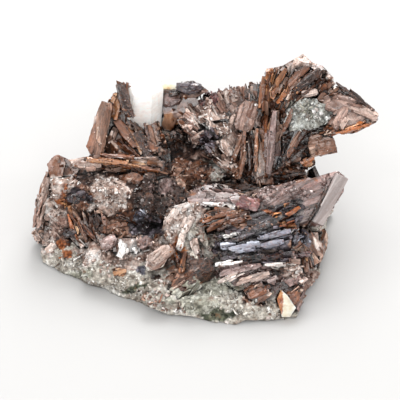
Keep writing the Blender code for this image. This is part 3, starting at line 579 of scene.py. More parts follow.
# %% The rock material
def rock_material(name):
    """Dull broken rock with dark and pale mineral grains."""
    material, tree, place = new_material(name)
    fine = noise_of(tree, place, 3000, 6.0, 0.8)
    broad = noise_of(tree, place, 500, 4.0, 0.65)
    grain = cells_of(tree, place, 2600)[1]
    shade = combine(tree, "MULTIPLY", spread(tree, fine, 0.3, 0.7, 0.5, 1.45),
                    spread(tree, grain["Red"], 0, 1, 0.6, 1.3))
    colour = scaled(tree, attribute_of(tree, "tone", "Color"), shade)
    colour = laid_over(tree, colour, (140, 84, 44), spread(tree, broad, 0.58, 0.68, 0, 0.5))
    colour = laid_over(tree, colour, (52, 44, 38), spread(tree, broad, 0.40, 0.33, 0, 0.6))
    colour = laid_over(tree, colour, (236, 232, 222), spread(tree, fine, 0.62, 0.7, 0, 0.7))
    # The base colour gets a painted shade in cracks and hollows.
    feed(tree, tree.nodes["Principled BSDF"], {
        "Base Color": scaled(tree, colour, hollow_shade(tree, 2.2, 0.12)),
        "Roughness": spread(tree, grain["Green"], 0, 1, 0.35, 0.9),
        "Normal": bumped(tree, fine, 0.8, 0.2, Normal=faceted(tree, place, 2200, 0.5)[0]),
    })
    return material


rock = rock_material("matrix_rock")
print("rock:", rock.name)

# %% [markdown]
# ## Tools for the bench
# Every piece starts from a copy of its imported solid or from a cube. An operator acts on all that is
# selected, so a helper selects one object alone before each step.


# %% Selecting, copying and applying
def alone(piece):
    """Selects this piece and nothing else."""
    bpy.ops.object.select_all(action="DESELECT")
    piece.select_set(True)
    bpy.context.view_layer.objects.active = piece
    return piece


def copy_of(node, name):
    """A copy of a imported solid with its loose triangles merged."""
    source = frame["nodes"][node]
    piece = bpy.data.objects.new(name, source.data.copy())
    bpy.context.scene.collection.objects.link(piece)
    piece.data.materials.clear()
    alone(piece)
    bpy.ops.object.mode_set(mode="EDIT")
    bpy.ops.mesh.select_all(action="SELECT")
    bpy.ops.mesh.remove_doubles(threshold=0.002 * MM)
    bpy.ops.mesh.normals_make_consistent(inside=False)
    bpy.ops.object.mode_set(mode="OBJECT")
    return piece


def apply_all(piece):
    """Applies the piece's modifiers in order."""
    alone(piece)
    for modifier in list(piece.modifiers):
        bpy.ops.object.modifier_apply(modifier=modifier.name)


# %% Relief
def relief(piece, kind, size, height, heart=None, middle=0.5):
    """Adds a displacement of this height in mm by a texture of this size in mm. With a heart, the
    texture is drawn out along the way from the heart, as growth lines are. The kind CELLS gives each
    cell one height, which makes the flat blocks that a crystal steps up in."""
    texture = bpy.data.textures.new(f"{piece.name}_{kind}", "VORONOI" if kind == "CELLS" else kind)
    texture.noise_scale = 1
    if kind == "CLOUDS":
        texture.noise_depth = 3
    elif kind == "CELLS":
        texture.color_mode = "POSITION"
    else:
        texture.distance_metric = "CHEBYCHEV"
        texture.noise_intensity = 1.2
    guide = bpy.data.objects.new(f"{piece.name}_guide", None)
    guide.scale = [size * MM, size * MM, size * MM * (6 if heart else 1)]
    if heart:
        guide.rotation_euler = (middle_of(piece) - heart).to_track_quat("Z", "Y").to_euler()
    bpy.context.scene.collection.objects.link(guide)
    bpy.context.view_layer.update()
    displace = piece.modifiers.new(kind.title(), "DISPLACE")
    displace.texture = texture
    displace.texture_coords = "OBJECT"
    displace.texture_coords_object = guide
    displace.strength = height * MM
    displace.mid_level = middle
    apply_all(piece)
    bpy.data.objects.remove(guide)


def middle_of(piece):
    return Vector(points_of(piece.data).mean(axis=0))


# %% Finer faces
def open_faces(piece, tree, reach=0.7):
    """For each face, whether the space in front of it is free of other pieces."""
    free = []
    for face in piece.data.polygons:
        start = face.center + face.normal * 0.02 * MM
        free.append(tree.ray_cast(start, face.normal, reach * MM)[0] is None)
    return np.array(free)


def divide(piece, longest, tree):
    """Divides the open faces until no edge is longer than this, in mm. Flat faces and sharp edges
    stay."""
    for _ in range(9):
        mesh = piece.data
        free = open_faces(piece, tree)
        corners = np.empty(len(mesh.loops), int)
        mesh.loops.foreach_get("edge_index", corners)
        totals = np.empty(len(mesh.polygons), int)
        mesh.polygons.foreach_get("loop_total", totals)
        wanted = np.zeros(len(mesh.edges), bool)
        wanted[corners[np.repeat(free, totals)]] = True
        ends = np.empty(len(mesh.edges) * 2, int)
        mesh.edges.foreach_get("vertices", ends)
        points = points_of(mesh)
        reach = points[ends[::2]] - points[ends[1::2]]
        wanted &= np.sqrt((reach**2).sum(axis=1)) > longest * MM
        if not wanted.any():
            break
        alone(piece)
        mesh.polygons.foreach_set("select", np.zeros(len(mesh.polygons), bool))
        mesh.vertices.foreach_set("select", np.zeros(len(mesh.vertices), bool))
        mesh.edges.foreach_set("select", wanted)
        bpy.ops.object.mode_set(mode="EDIT")
        bpy.ops.mesh.select_mode(type="EDGE")
        bpy.ops.object.mode_set(mode="OBJECT")
        mesh.edges.foreach_set("select", wanted)
        bpy.ops.object.mode_set(mode="EDIT")
        bpy.ops.mesh.subdivide(number_cuts=1)
        bpy.ops.mesh.select_all(action="SELECT")
        bpy.ops.mesh.quads_convert_to_tris()
        bpy.ops.object.mode_set(mode="OBJECT")


# %% An even mesh
def voxels(piece, faces, finest=0.12, coarsest=0.4):
    """Remeshes the piece evenly, with about this many faces."""
    area = sum(polygon.area for polygon in piece.data.polygons) / MM**2
    size = min(max(math.sqrt(area / faces), finest), coarsest)
    remesh = piece.modifiers.new("Remesh", "REMESH")
    remesh.mode = "VOXEL"
    remesh.voxel_size = size * MM
    apply_all(piece)
    return size


def hold_floor(piece):
    """Keeps the foot flat on the floor."""
    points = points_of(piece.data)
    points[:, 2] = np.maximum(points[:, 2], 0)
    piece.data.vertices.foreach_set("co", points.ravel())
    piece.data.update()


def settle(piece, slot, *nodes):
    """Puts the finished piece on the specimen's one body."""
    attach(piece, "root")
    if nodes:
        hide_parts(*nodes)


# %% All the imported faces
def tree_of(objects):
    """The faces of the objects, for rays."""
    points, faces = [], []
    for thing in objects:
        first = len(points)
        points += [vertex.co.copy() for vertex in thing.data.vertices]
        faces += [[first + index for index in face.vertices] for face in thing.data.polygons]
    return BVHTree.FromPolygons(points, faces)


packed = tree_of(frame["nodes"].values())
print("packed nodes:", len(frame["nodes"]))

# %% [markdown]
# ## Small crystals
# Crusts hold thousands of small crystals, and each cluster has hundreds of thin blades. Each shape is
# modelled once, as a cube cut by planes, as a gem is cut. A few shapes are enough, because each copy
# has its own size, turn and colour.


# %% A crystal cut from a cube
def cut_crystal(name, half, cuts, group):
    """A cube cut by planes in edit mode. The half sizes are in mm, and Z is the growing direction."""
    bpy.ops.object.select_all(action="DESELECT")
    bpy.ops.mesh.primitive_cube_add(size=2)
    piece = bpy.context.object
    piece.name = name
    bpy.ops.object.mode_set(mode="EDIT")
    for *normal, reach in cuts:
        bpy.ops.mesh.select_all(action="SELECT")
        direction = Vector(normal).normalized()
        bpy.ops.mesh.bisect(plane_co=direction * reach, plane_no=direction, use_fill=True, clear_outer=True)
    bpy.ops.mesh.select_all(action="SELECT")
    bpy.ops.transform.resize(value=[part * MM for part in half])
    bpy.ops.mesh.normals_make_consistent(inside=False)
    bpy.ops.object.mode_set(mode="OBJECT")
    for home in list(piece.users_collection):
        home.objects.unlink(piece)
    group.objects.link(piece)


SMALL_GRAINS = (
    ("block", (0.5, 0.4, 0.46), ((1, 1, 1, 1.1), (-1, 1, 0.6, 1.05), (0.4, -1, 1, 1.0))),
    ("plate", (0.6, 0.5, 0.14), ((1, 1, 0, 1.0), (-1, 0.7, 0.3, 1.0))),
    ("shard", (0.2, 0.16, 0.75), ((1, 0.3, 0.6, 0.85), (-1, 0.5, 0.8, 0.8), (0.1, -1, 0.7, 0.75))),
    ("tooth", (0.34, 0.3, 0.6), ((1, 0.2, 0.7, 0.8), (-0.8, 0.5, 0.9, 0.8), (0.1, -1, 0.8, 0.8))),
)
SMALL_BLADES = (
    ("blade", (0.42, 0.11, 1.0),
     ((1, 0, 0.9, 0.95), (-1, 0, 1.6, 1.2), (1, 1.1, 0, 1.1), (-1, -1, 0, 1.15), (0, 1, 0.9, 1.1))),
    ("axe", (0.36, 0.16, 0.9),
     ((0, 1, 0.8, 0.85), (0, -1, 0.8, 0.9), (1, 0.2, 0.5, 0.95), (-1, 1, 0.1, 1.1), (1, -1, 0, 1.15))),
    ("lath", (0.17, 0.08, 1.2),
     ((1, 0.2, 0.4, 0.95), (-1, 0, 0.9, 1.1), (0, 1, 0.3, 0.95), (1, -1, 0, 1.1))),
    ("wedge", (0.5, 0.12, 0.8),
     ((1, 0, 1.3, 1.1), (-1, 0.1, 0.7, 1.0), (0.8, 0, -1, 1.2), (1, 1, 0, 1.15), (-1, 1, 0.4, 1.1))),
)
grains = bpy.data.collections.new("grains")
blades = bpy.data.collections.new("blades")
for shapes, group in ((SMALL_GRAINS, grains), (SMALL_BLADES, blades)):
    for name, half, cuts in shapes:
        cut_crystal(name, half, cuts, group)
    print(group.name, [len(piece.data.polygons) for piece in group.objects])


# %% [markdown]
# ## The crystals that one knows it by
# These rows name the crystals that are set one by one later. They are listed first, because what grows
# by chance keeps clear of them.

# %% The crystals set one by one
# shape, palette, pixel across and down, length and width in pixels, thickness in mm, angle, roll, luck
SET_CRYSTALS = (
    ("lath", "dark", 322, 198, 54, 3, 0.5, 59, 0, 0.4), ("lath", "pink", 47, 184, 26, 6, 1.0, 84, 0, 0.5),
    ("lath", "tan", 40, 212, 34, 7, 0.9, 82, 10, 0.6), ("lath", "brown", 288, 120, 26, 5, 0.9, 70, 10, 0.4),
    ("axe", "tan", 339, 118, 26, 10, 1.0, 62, 10, 0.6), ("lath", "dark", 318, 128, 34, 4, 0.8, 8, 20, 0.5),
    ("block", "brown", 131, 179, 21, 17, 1.4, 20, 15, 0.5), ("lath", "pink", 43, 200, 50, 8, 0.7, 80, 20, 0.5),
    ("plate", "pink", 87, 165, 30, 9, 0.8, 0, 0, 0.6),
    ("lath", "amber", 108, 161, 42, 5, 0.8, -4, 20, 0.7), ("lath", "amber", 122, 165, 50, 5, 0.8, -8, -20, 0.45),
    ("lath", "rust", 138, 167, 44, 4, 0.7, -10, 25, 0.6), ("lath", "brown", 117, 158, 36, 4, 0.7, -2, -15, 0.4),
    ("lath", "amber", 146, 169, 30, 6, 0.8, -6, 10, 0.3), ("lath", "rust", 98, 161, 24, 4, 0.6, 4, 0, 0.8),
    ("lath", "amber", 75, 220, 32, 4, 0.7, 118, 20, 0.7), ("lath", "brown", 80, 227, 34, 4, 0.7, 124, -20, 0.3),
    ("lath", "rust", 72, 226, 26, 3, 0.6, 112, 10, 0.5), ("lath", "amber", 87, 231, 28, 5, 0.7, 130, -10, 0.35),
    ("block", "night", 77, 197, 20, 13, 1.2, 15, 0, 0.45), ("block", "night", 70, 233, 15, 11, 1.0, 0, 10, 0.4),
    ("axe", "brown", 114, 224, 28, 12, 0.9, 12, 20, 0.55), ("axe", "brown", 126, 219, 22, 8, 0.7, -20, -20, 0.3),
    # The white crystals at (122, 250), (134, 252) and (144, 250) are painted glints: white set where the crust
    # flashes.
    ("block", "white", 122, 250, 15, 8, 0.8, 70, 20, 0.9), ("block", "white", 134, 252, 11, 6, 0.8, 95, 0, 0.8),
    ("lath", "white", 144, 250, 9, 4, 0.6, 10, 20, 0.9), ("block", "lilac", 109, 242, 17, 14, 1.2, 30, 0, 0.7),
    ("block", "lilac", 145, 243, 15, 12, 1.2, 50, -10, 0.55), ("plate", "crust", 52, 248, 13, 9, 0.6, 40, 0, 0.45),
    ("plate", "pink", 160, 254, 24, 15, 0.9, 35, 10, 0.7), ("plate", "amber", 120, 272, 14, 6, 0.4, 15, 0, 0.8),
    ("axe", "brown", 102, 129, 58, 17, 0.9, 79, -15, 0.62), ("lath", "pink", 94, 136, 42, 6, 0.6, 85, 0, 0.8),
    ("axe", "dark", 124, 101, 38, 12, 0.8, 108, 15, 0.5), ("axe", "amber", 117, 107, 28, 9, 0.7, 78, -10, 0.6),
    ("axe", "brown", 127, 136, 42, 12, 1.0, 132, 20, 0.45), ("lath", "amber", 137, 141, 38, 6, 0.8, 126, -20, 0.6),
    ("axe", "dark", 143, 148, 36, 10, 0.9, 118, 10, 0.5), ("lath", "rust", 121, 146, 28, 5, 0.7, 152, 20, 0.5),
    ("axe", "brown", 151, 139, 30, 11, 0.9, 104, -15, 0.6), ("lath", "brown", 133, 152, 40, 6, 0.8, 140, 0, 0.25),
    ("axe", "crust", 112, 138, 24, 7, 0.7, 70, 10, 0.3), ("block", "night", 189, 88, 27, 13, 1.6, 0, 0, 0.55),
    ("plate", "tan", 246, 116, 32, 24, 0.8, 75, 10, 0.5), ("lath", "brown", 243, 152, 46, 6, 0.9, 86, 20, 0.4),
    ("lath", "dark", 250, 156, 42, 6, 0.9, 92, -20, 0.4), ("lath", "amber", 256, 150, 46, 5, 0.8, 89, 10, 0.45),
    ("lath", "brown", 236, 150, 36, 6, 0.8, 76, -15, 0.6), ("lath", "rust", 266, 118, 56, 5, 0.8, 87, 20, 0.55),
    ("lath", "amber", 263, 92, 34, 6, 0.7, 84, -10, 0.5), ("spindle", "lilac", 271, 142, 68, 10, 1.4, 85, 10, 0.65),
    ("lath", "slate", 280, 156, 26, 4, 0.7, 84, 20, 0.6), ("axe", "dark", 306, 80, 38, 10, 0.9, 38, 15, 0.55),
    ("lath", "dark", 313, 88, 32, 6, 0.7, 33, -15, 0.4), ("axe", "brown", 298, 76, 30, 8, 0.8, 43, 10, 0.45),
    ("axe", "amber", 278, 84, 34, 11, 0.9, 62, -10, 0.55), ("lath", "rust", 285, 93, 28, 6, 0.7, 50, 20, 0.6),
    ("plate", "pink", 310, 93, 17, 9, 0.7, 12, 0, 0.7), ("axe", "tan", 350, 108, 52, 18, 0.8, -14, 10, 0.55),
    ("lath", "dark", 355, 97, 50, 4, 0.6, -36, 0, 0.6), ("lath", "rust", 353, 129, 40, 4, 0.6, 16, 0, 0.6),
    ("plate", "brown", 322, 145, 28, 20, 1.0, 12, 10, 0.6), ("lath", "rust", 307, 160, 16, 7, 0.7, 25, 0, 0.6),
    ("lath", "dark", 289, 148, 52, 6, 0.9, 68, 15, 0.3), ("axe", "brown", 298, 140, 42, 8, 0.9, 58, -15, 0.4),
    ("lath", "brown", 280, 172, 46, 5, 0.8, 7, 15, 0.45), ("lath", "dark", 289, 177, 38, 5, 0.7, 11, -15, 0.5),
    ("lath", "rust", 281, 219, 46, 4, 0.6, 35, 10, 0.5), ("plate", "plum", 249, 204, 22, 14, 0.8, -22, 0, 0.75),
    ("axe", "brown", 226, 221, 44, 9, 0.9, 20, 15, 0.4), ("lath", "amber", 232, 214, 40, 5, 0.7, 14, -15, 0.45),
    ("lath", "dark", 216, 230, 32, 6, 0.8, 26, 10, 0.4), ("lath", "rust", 214, 218, 26, 4, 0.6, 24, 0, 0.5),
    ("lath", "slate", 245, 247, 34, 8, 0.7, 9, 15, 0.75), ("lath", "slate", 273, 245, 24, 8, 0.7, 13, -10, 0.6),
    ("lath", "slate", 228, 245, 16, 8, 0.7, 5, 20, 0.85), ("lath", "slate", 274, 235, 36, 7, 0.7, 15, 10, 0.6),
    ("lath", "night", 251, 257, 28, 7, 0.8, 6, -20, 0.25), ("lath", "white", 231, 235, 17, 3, 0.5, 15, 0, 0.8),
    ("lath", "crust", 231, 264, 24, 3, 0.5, 10, 0, 0.8), ("lath", "crust", 275, 264, 22, 4, 0.5, 4, 0, 0.8),
    ("lath", "night", 242, 237, 42, 6, 0.8, 20, 20, 0.35), ("lath", "night", 264, 227, 48, 7, 0.8, 24, -15, 0.3),
    ("plate", "slate", 302, 238, 17, 13, 0.8, 60, 0, 0.4), ("lath", "plum", 301, 255, 20, 6, 0.7, 5, 0, 0.5),
    ("lath", "rust", 176, 257, 26, 5, 0.8, 108, 10, 0.5), ("lath", "amber", 184, 262, 22, 5, 0.8, 76, -10, 0.4),
    ("axe", "lilac", 240, 270, 44, 8, 0.7, 12, 10, 0.7), ("axe", "pink", 253, 278, 36, 7, 0.7, 18, -15, 0.6),
    ("lath", "crust", 231, 277, 30, 5, 0.6, 26, 15, 0.6), ("plate", "brown", 257, 293, 20, 10, 0.7, 20, 0, 0.35),
    ("block", "brown", 294, 298, 14, 12, 1.1, 70, 0, 0.35), ("lath", "crust", 214, 205, 24, 3, 0.5, -5, 0, 0.95),
    ("plate", "crust", 172, 216, 17, 9, 0.7, 50, 15, 0.7), ("plate", "crust", 183, 207, 15, 8, 0.7, 22, 0, 0.8),
    ("plate", "crust", 188, 225, 20, 10, 0.8, 62, -15, 0.6), ("plate", "crust", 181, 240, 18, 9, 0.7, 76, 10, 0.7),
    ("plate", "pink", 195, 246, 17, 8, 0.7, 100, 0, 0.6), ("block", "lilac", 170, 100, 22, 16, 1.4, 10, 0, 0.35),
    ("plate", "dark", 170, 92, 18, 8, 0.8, 0, 0, 0.6),
)
print("set by hand:", len(SET_CRYSTALS))

# %% [markdown]
# ## Scattering
# Geometry Nodes sets the copies on a host's faces. The attribute room says where they may grow.
# Grains point out of the face. Blades point away from the heart that their cluster grew from, so
# they make a fan. Each copy keeps its place as heart and a random number as luck, for its colour.

# %% The scattering nodes
def growing_nodes(shapes, density, size, lean, seed, heart):
    """A node tree that grows crystals on a mesh. The density is for each square millimetre."""
    tree = bpy.data.node_groups.new("growing", "GeometryNodeTree")
    for way in ("INPUT", "OUTPUT"):
        tree.interface.new_socket("Geometry", in_out=way, socket_type="NodeSocketGeometry")

    def first(kind, inputs, **settings):
        return new_node(tree, kind, inputs, **settings).outputs[0]

    def chance(kind, low, high, number):
        made = new_node(tree, "FunctionNodeRandomValue", {"Seed": seed * 10 + number}, data_type=kind)
        sockets = [socket for socket in made.inputs if socket.enabled and socket.name in ("Min", "Max")]
        sockets[0].default_value, sockets[1].default_value = low, high
        return next(socket for socket in made.outputs if socket.enabled)

    def stored(geometry, kind, name, value):
        return first("GeometryNodeStoreNamedAttribute", {"Geometry": geometry, "Name": name, "Value": value},
                     data_type=kind, domain="INSTANCE")

    room = new_node(tree, "GeometryNodeInputNamedAttribute", {"Name": "room"}, data_type="FLOAT")
    points = new_node(tree, "GeometryNodeDistributePointsOnFaces", {
        "Mesh": first("NodeGroupInput", {}),
        "Density": combine(tree, "MULTIPLY", room.outputs["Attribute"], density / MM**2),
        "Seed": seed,
    }).outputs
    turned = points["Rotation"]
    here = first("GeometryNodeInputPosition", {})
    if heart:
        outward = on_vectors(tree, "SUBTRACT", {0: here, 1: heart})
        aim = first("FunctionNodeAlignRotationToVector", {"Vector": outward}, axis="Z")
        turned = first("FunctionNodeAlignRotationToVector", {"Rotation": aim, "Vector": points["Normal"]},
                       axis="Y", pivot_axis="Z")
    roll = 1.3 if heart else math.pi
    euler = chance("FLOAT_VECTOR", (-lean, -lean, -roll), (lean, lean, roll), 1)
    lean_away = first("FunctionNodeEulerToRotation", {0: euler})
    copies = first("GeometryNodeInstanceOnPoints", {
        "Points": points["Points"],
        "Instance": first("GeometryNodeCollectionInfo",
                          {"Collection": shapes, "Separate Children": True, "Reset Children": True}),
        "Pick Instance": True,
        "Instance Index": chance("INT", 0, len(shapes.objects) - 1, 2),
        "Rotation": first("FunctionNodeRotateRotation", {0: turned, 1: lean_away}, rotation_space="LOCAL"),
        "Scale": chance("FLOAT", *size, 3),
    })
    copies = stored(copies, "FLOAT", "luck", chance("FLOAT", 0.0, 1.0, 4))
    copies = stored(copies, "FLOAT_VECTOR", "heart", here)
    new_node(tree, "NodeGroupOutput", {0: first("GeometryNodeRealizeInstances", {0: copies})})
    return tree


# %% Trimming to the outline
def trim(piece):
    """Takes away the copies of which a corner would show outside the photograph's outline."""
    mesh = piece.data
    whose = np.unique(points_of(mesh, "heart").round(7), axis=0, return_inverse=True)[1].ravel()
    gone = np.zeros(whose.max() + 1, bool)
    gone[whose[~inside_outline(points_of(mesh))]] = True
    form = bmesh.new()
    form.from_mesh(mesh)
    outside = [point for point, out in zip(form.verts, gone[whose]) if out]
    bmesh.ops.delete(form, geom=outside, context="VERTS")
    form.to_mesh(mesh)
    form.free()


# %% Growing on a host
def grow(host, name, shapes, density, size, room, lean, seed, heart=None):
    """Grows crystals on the host and returns them. room gives 0 to 1 for each of the host's points."""
    made = bpy.data.objects.new(name, host.data.copy())
    bpy.context.scene.collection.objects.link(made)
    write(made.data, "room", "FLOAT", "value", np.clip(room, 0, 1))
    growing = made.modifiers.new("Growing", "NODES")
    growing.node_group = growing_nodes(shapes, density, size, lean, seed, heart)
    apply_all(made)
    for kept in ("room", "tone", "growth"):
        if kept in made.data.attributes:
            made.data.attributes.remove(made.data.attributes[kept])
    made.data.materials.clear()
    made.data.materials.append(blade_glass if heart else grain_glass)
    hold_floor(made)
    trim(made)
    return made


def clear_of_set(spots, normals):
    """Little where a crystal that is set one by one will lie, and 1 elsewhere."""
    across, down = pixels_of(spots)
    clear = np.ones(len(spots))
    towards = normals @ np.array(AWAY) < 0
    for _, _, middle, level, long, wide, _, turn, _, _ in SET_CRYSTALS:
        covered = oval(across - middle, level - down, long / 2, wide / 2 + 1, turn) < 1
        clear[towards & covered] = 0.3
    return clear


def open_room(host, seed, share):
    """Where crystals may grow: on open faces above the foot, in patches that cover about this share."""
    normals, spots = normals_of(host.data), points_of(host.data)
    free = [packed.ray_cast(Vector(spot) + Vector(normal) * 0.4 * MM, Vector(normal), 1.2 * MM)[0] is None
            for spot, normal in zip(spots, normals)]
    above = np.clip(spots[:, 2] / MM - 0.3, 0, 1)
    patches = np.clip((cloud(spots, 3.0, seed) - 0.5) * 8 + (share - 0.5) * 6 + 0.5, 0.03, 1)
    return above * patches * np.array(free) * clear_of_set(spots, normals)


print("growing tools ready")

# %% [markdown]
# ## The rock
# The block is broken, so its faces are rough at every size. A voxel remesh gives the plain solid
# enough points, and reliefs then break it up: broad lumps, blocky chips and a fine tooth.

# %% The matrix
matrix = copy_of("matrix", "matrix_block")
print("matrix voxel, mm:", round(voxels(matrix, 45000), 3))
relief(matrix, "CLOUDS", 3.2, 0.8, middle=0.4)
relief(matrix, "VORONOI", 1.3, 0.35, middle=0.3)
relief(matrix, "CLOUDS", 0.5, 0.25)
draw_in(matrix)
hold_floor(matrix)
paint(matrix, "rock")
matrix.data.materials.append(rock)
settle(matrix, "matrix", "matrix")
print("matrix faces:", len(matrix.data.polygons))

# %% The crust on the rock
crust = grow(matrix, "matrix_crust", grains, 3.6, (0.18, 0.6), open_room(matrix, 9, 0.75), lean=1.0, seed=3)
paint(crust, "crust")
settle(crust, "matrix")
rock_heart = seen(180, 215, 0)
shards = grow(matrix, "matrix_blades", blades, 0.5, (0.5, 1.1), open_room(matrix, 12, 0.4),
              lean=0.9, seed=4, heart=rock_heart)
paint(shards, "brown", heart=rock_heart)
settle(shards, "brown_axinite")
print("crust faces:", len(crust.data.polygons), "blades:", len(shards.data.polygons))

# %% [markdown]
# ## The crystal clusters
# Each cluster keeps its solid's flat faces and sharp edges, which are in their right places. The
# faces are divided finely, then get growth lines that run away from the heart of the cluster, and
# terraces, which are the steps of its growth. Thin blades and grains grow on them.

# %% The clusters
# material, slot, palette, heart (pixel across, down, height), lines, terraces, blades, blade size, grains
CLUSTERS = {
    "great_wedge": (crystal, "brown_axinite", "lilac", (225, 240, 6), 0.04, 0.12, 0.6, 0.4, 2.4),
    "step_stack": (striated_crystal, "dark_axinite", "night", (330, 215, 9), 0.03, 0.30, 1.6, 0.9, 1.0),
    "front_plates": (crystal, "tan_axinite", "lilac", (320, 262, 5), 0.04, 0.2, 2.0, 0.7, 0.8),
    "right_edge_blades": (crystal, "brown_axinite", "brown", (300, 205, 12), 0.04, 0.2, 2.0, 0.8, 0.7),
    "front_wedge": (smooth_crystal, "tan_axinite", "pink", (140, 285, 3), 0.03, 0.1, 0.3, 0.4, 1.2),
    "front_blade": (crystal, "dark_axinite", "dark", (225, 255, 8), 0.03, 0.14, 1.0, 0.6, 0.4),
    "small_front_crystals": (crystal, "tan_axinite", "tan", (125, 270, 2), 0.03, 0.12, 0.8, 0.5, 0.9),
    "corner_crystal": (smooth_crystal, "tan_axinite", "tan", (56, 190, 8), 0.03, 0.12, 0.5, 0.5, 0.4),
    "left_edge_plates": (crystal, "tan_axinite", "pink", (45, 245, 0), 0.03, 0.12, 1.6, 0.7, 0.8),
    "ledge_blades": (striated_crystal, "brown_axinite", "amber", (190, 172, 10), 0.04, 0.2, 1.6, 1.0, 0.2),
    "cleft_blades": (crystal, "brown_axinite", "brown", (95, 260, 2), 0.04, 0.14, 2.0, 0.8, 0.5),
    "grey_crystal": (smooth_crystal, "brown_axinite", "amber", (172, 150, 8), 0.03, 0.14, 0.3, 0.5, 0.3),
    "slab_under_prism": (crystal, "dark_axinite", "brown", (160, 178, 8), 0.05, 0.3, 3.0, 0.8, 1.4),
    "upper_left_fan": (crystal, "brown_axinite", "brown", (115, 185, 6), 0.04, 0.16, 0.8, 0.8, 0.3),
    "tall_blades": (crystal, "brown_axinite", "brown", (266, 200, 6), 0.04, 0.2, 1.8, 1.0, 0.3),
    "right_spray": (crystal, "brown_axinite", "brown", (268, 150, 12), 0.05, 0.3, 3.2, 0.85, 0.9),
    "upper_block": (crystal, "tan_axinite", "brown", (262, 195, 6), 0.05, 0.3, 1.6, 0.75, 2.6),
    "lying_blades": (crystal, "dark_axinite", "dark", (330, 180, 9), 0.04, 0.2, 2.6, 0.9, 0.4),
    "back_left_fan": (crystal, "brown_axinite", "brown", (140, 130, 6), 0.05, 0.25, 4.0, 1.1, 1.2),
    "back_middle_fan": (crystal, "brown_axinite", "brown", (205, 130, 6), 0.05, 0.25, 4.0, 1.1, 1.2),
    "back_right_fan": (crystal, "brown_axinite", "brown", (260, 140, 6), 0.05, 0.25, 4.0, 1.1, 1.2),
    "left_low_fan": (crystal, "brown_axinite", "brown", (110, 185, 4), 0.05, 0.25, 2.4, 0.9, 0.7),
    "right_low_fan": (crystal, "dark_axinite", "dark", (260, 200, 4), 0.05, 0.25, 2.4, 0.9, 0.7),
}
LONGEST_EDGE = 0.4
SHARP_ANGLE = math.radians(24)
GRAIN_SIZES = (0.25, 0.65)

counts = {"faces": 0, "blades": 0, "grains": 0}
for number, (node, row) in enumerate(CLUSTERS.items()):
    material, slot, ground, place, lines, terraces, blade_share, blade_size, grain_share = row
    heart = seen(*place)
    piece = copy_of(node, f"{node}_crystals")
    divide(piece, LONGEST_EDGE, packed)
    faces = face_luck(piece)
    relief(piece, "CLOUDS", 0.35, lines, heart=heart)
    relief(piece, "CELLS", 1.5, terraces, heart=heart, middle=0.8)
    draw_in(piece)
    hold_floor(piece)
    alone(piece)
    bpy.ops.object.shade_smooth_by_angle(angle=SHARP_ANGLE)
    paint(piece, ground, heart=heart, faces=faces)
    piece.data.materials.append(material)
    settle(piece, slot, node)

    blade_sizes = (0.4 * blade_size, 1.5 * blade_size)
    fan = grow(piece, f"{node}_blades", blades, blade_share * 1.1, blade_sizes,
               open_room(piece, 20 + number, 0.5), lean=0.28, seed=40 + number, heart=heart)
    paint(fan, ground, heart=heart)
    settle(fan, slot)
    grit = grow(piece, f"{node}_grains", grains, grain_share * 2.2, GRAIN_SIZES,
                open_room(piece, 60 + number, 0.4), lean=0.8, seed=80 + number)
    paint(grit, ground, heart=heart)
    settle(grit, slot)
    for key, made in zip(counts, (piece, fan, grit)):
        counts[key] += len(made.data.polygons)
print("clusters:", len(CLUSTERS), counts)

# %% [markdown]
# ## Crystals set one by one
# Some crystals are what one knows this specimen by: the broad plates of the fan, the golden bundle,
# the stack's pale-blue faces, whose blue is a painted reflection. Each is one of five shapes, cut once
# from a cube. A copy is stretched to its size, and laid on the specimen at the pixel where the
# photograph shows its middle. It lies in the surface there, turned to the angle at which the
# photograph shows its long side.

# %% The shapes on the bench
BENCH_SHAPES = {
    "axe": ((1, 0, 0.8, 0.95), (-1, 0, 1.5, 1.2), (1, 1, 0, 1.15), (-1, 1, 0, 1.2), (1, -1, 0, 1.15),
            (-1, -1, 0, 1.2), (0.1, 1, 0.8, 1.1), (0.3, 0, -1, 0.9)),
    "lath": ((1, 0, 0.35, 0.95), (-1, 0, 0.5, 1.02), (1, 1, 0, 1.2), (-1, 1, 0, 1.1), (0.2, 1, 0.3, 1.0),
             (1, 0, -0.3, 1.0), (-0.4, 0, -1, 0.95)),
    "plate": ((1, 0, 1, 1.1), (-1, 0, 1, 1.25), (1, 0, -1, 1.25), (-1, 0, -1, 1.1), (1, 1, 0, 1.2),
              (-1, 1, 0.2, 1.1), (0, 1, 1, 1.2), (0, 1, -1, 1.15)),
    "block": ((1, 0.2, 1, 1.05), (-1, 0.4, 1, 1.1), (1, 0.5, -1, 1.1), (-1, 0.3, -1, 1.0), (0.5, 1, 0.3, 0.95),
              (-0.6, 1, 0.5, 1.05), (0.2, 1, -0.9, 1.05)),
    "spindle": ((1, 0, 0.55, 0.85), (-1, 0, 0.5, 0.9), (1, 0, -0.3, 0.95), (-1, 0, -0.35, 0.9), (1, 1, 0, 1.05),
                (-1, 1, 0, 1.0), (0, 1, 0.5, 1.0)),
}
bench = bpy.data.collections.new("bench")
for name, cuts in BENCH_SHAPES.items():
    cut_crystal(f"bench_{name}", (1000, 1000, 1000), cuts, bench)

# %% Laying them
BENCH_SLOTS = {
    "brown_axinite": ("brown", "amber", "rust", "plum"), "dark_axinite": ("dark", "night", "slate"),
    "tan_axinite": ("tan", "pink", "lilac"), "matrix": ("crust", "white"),
}


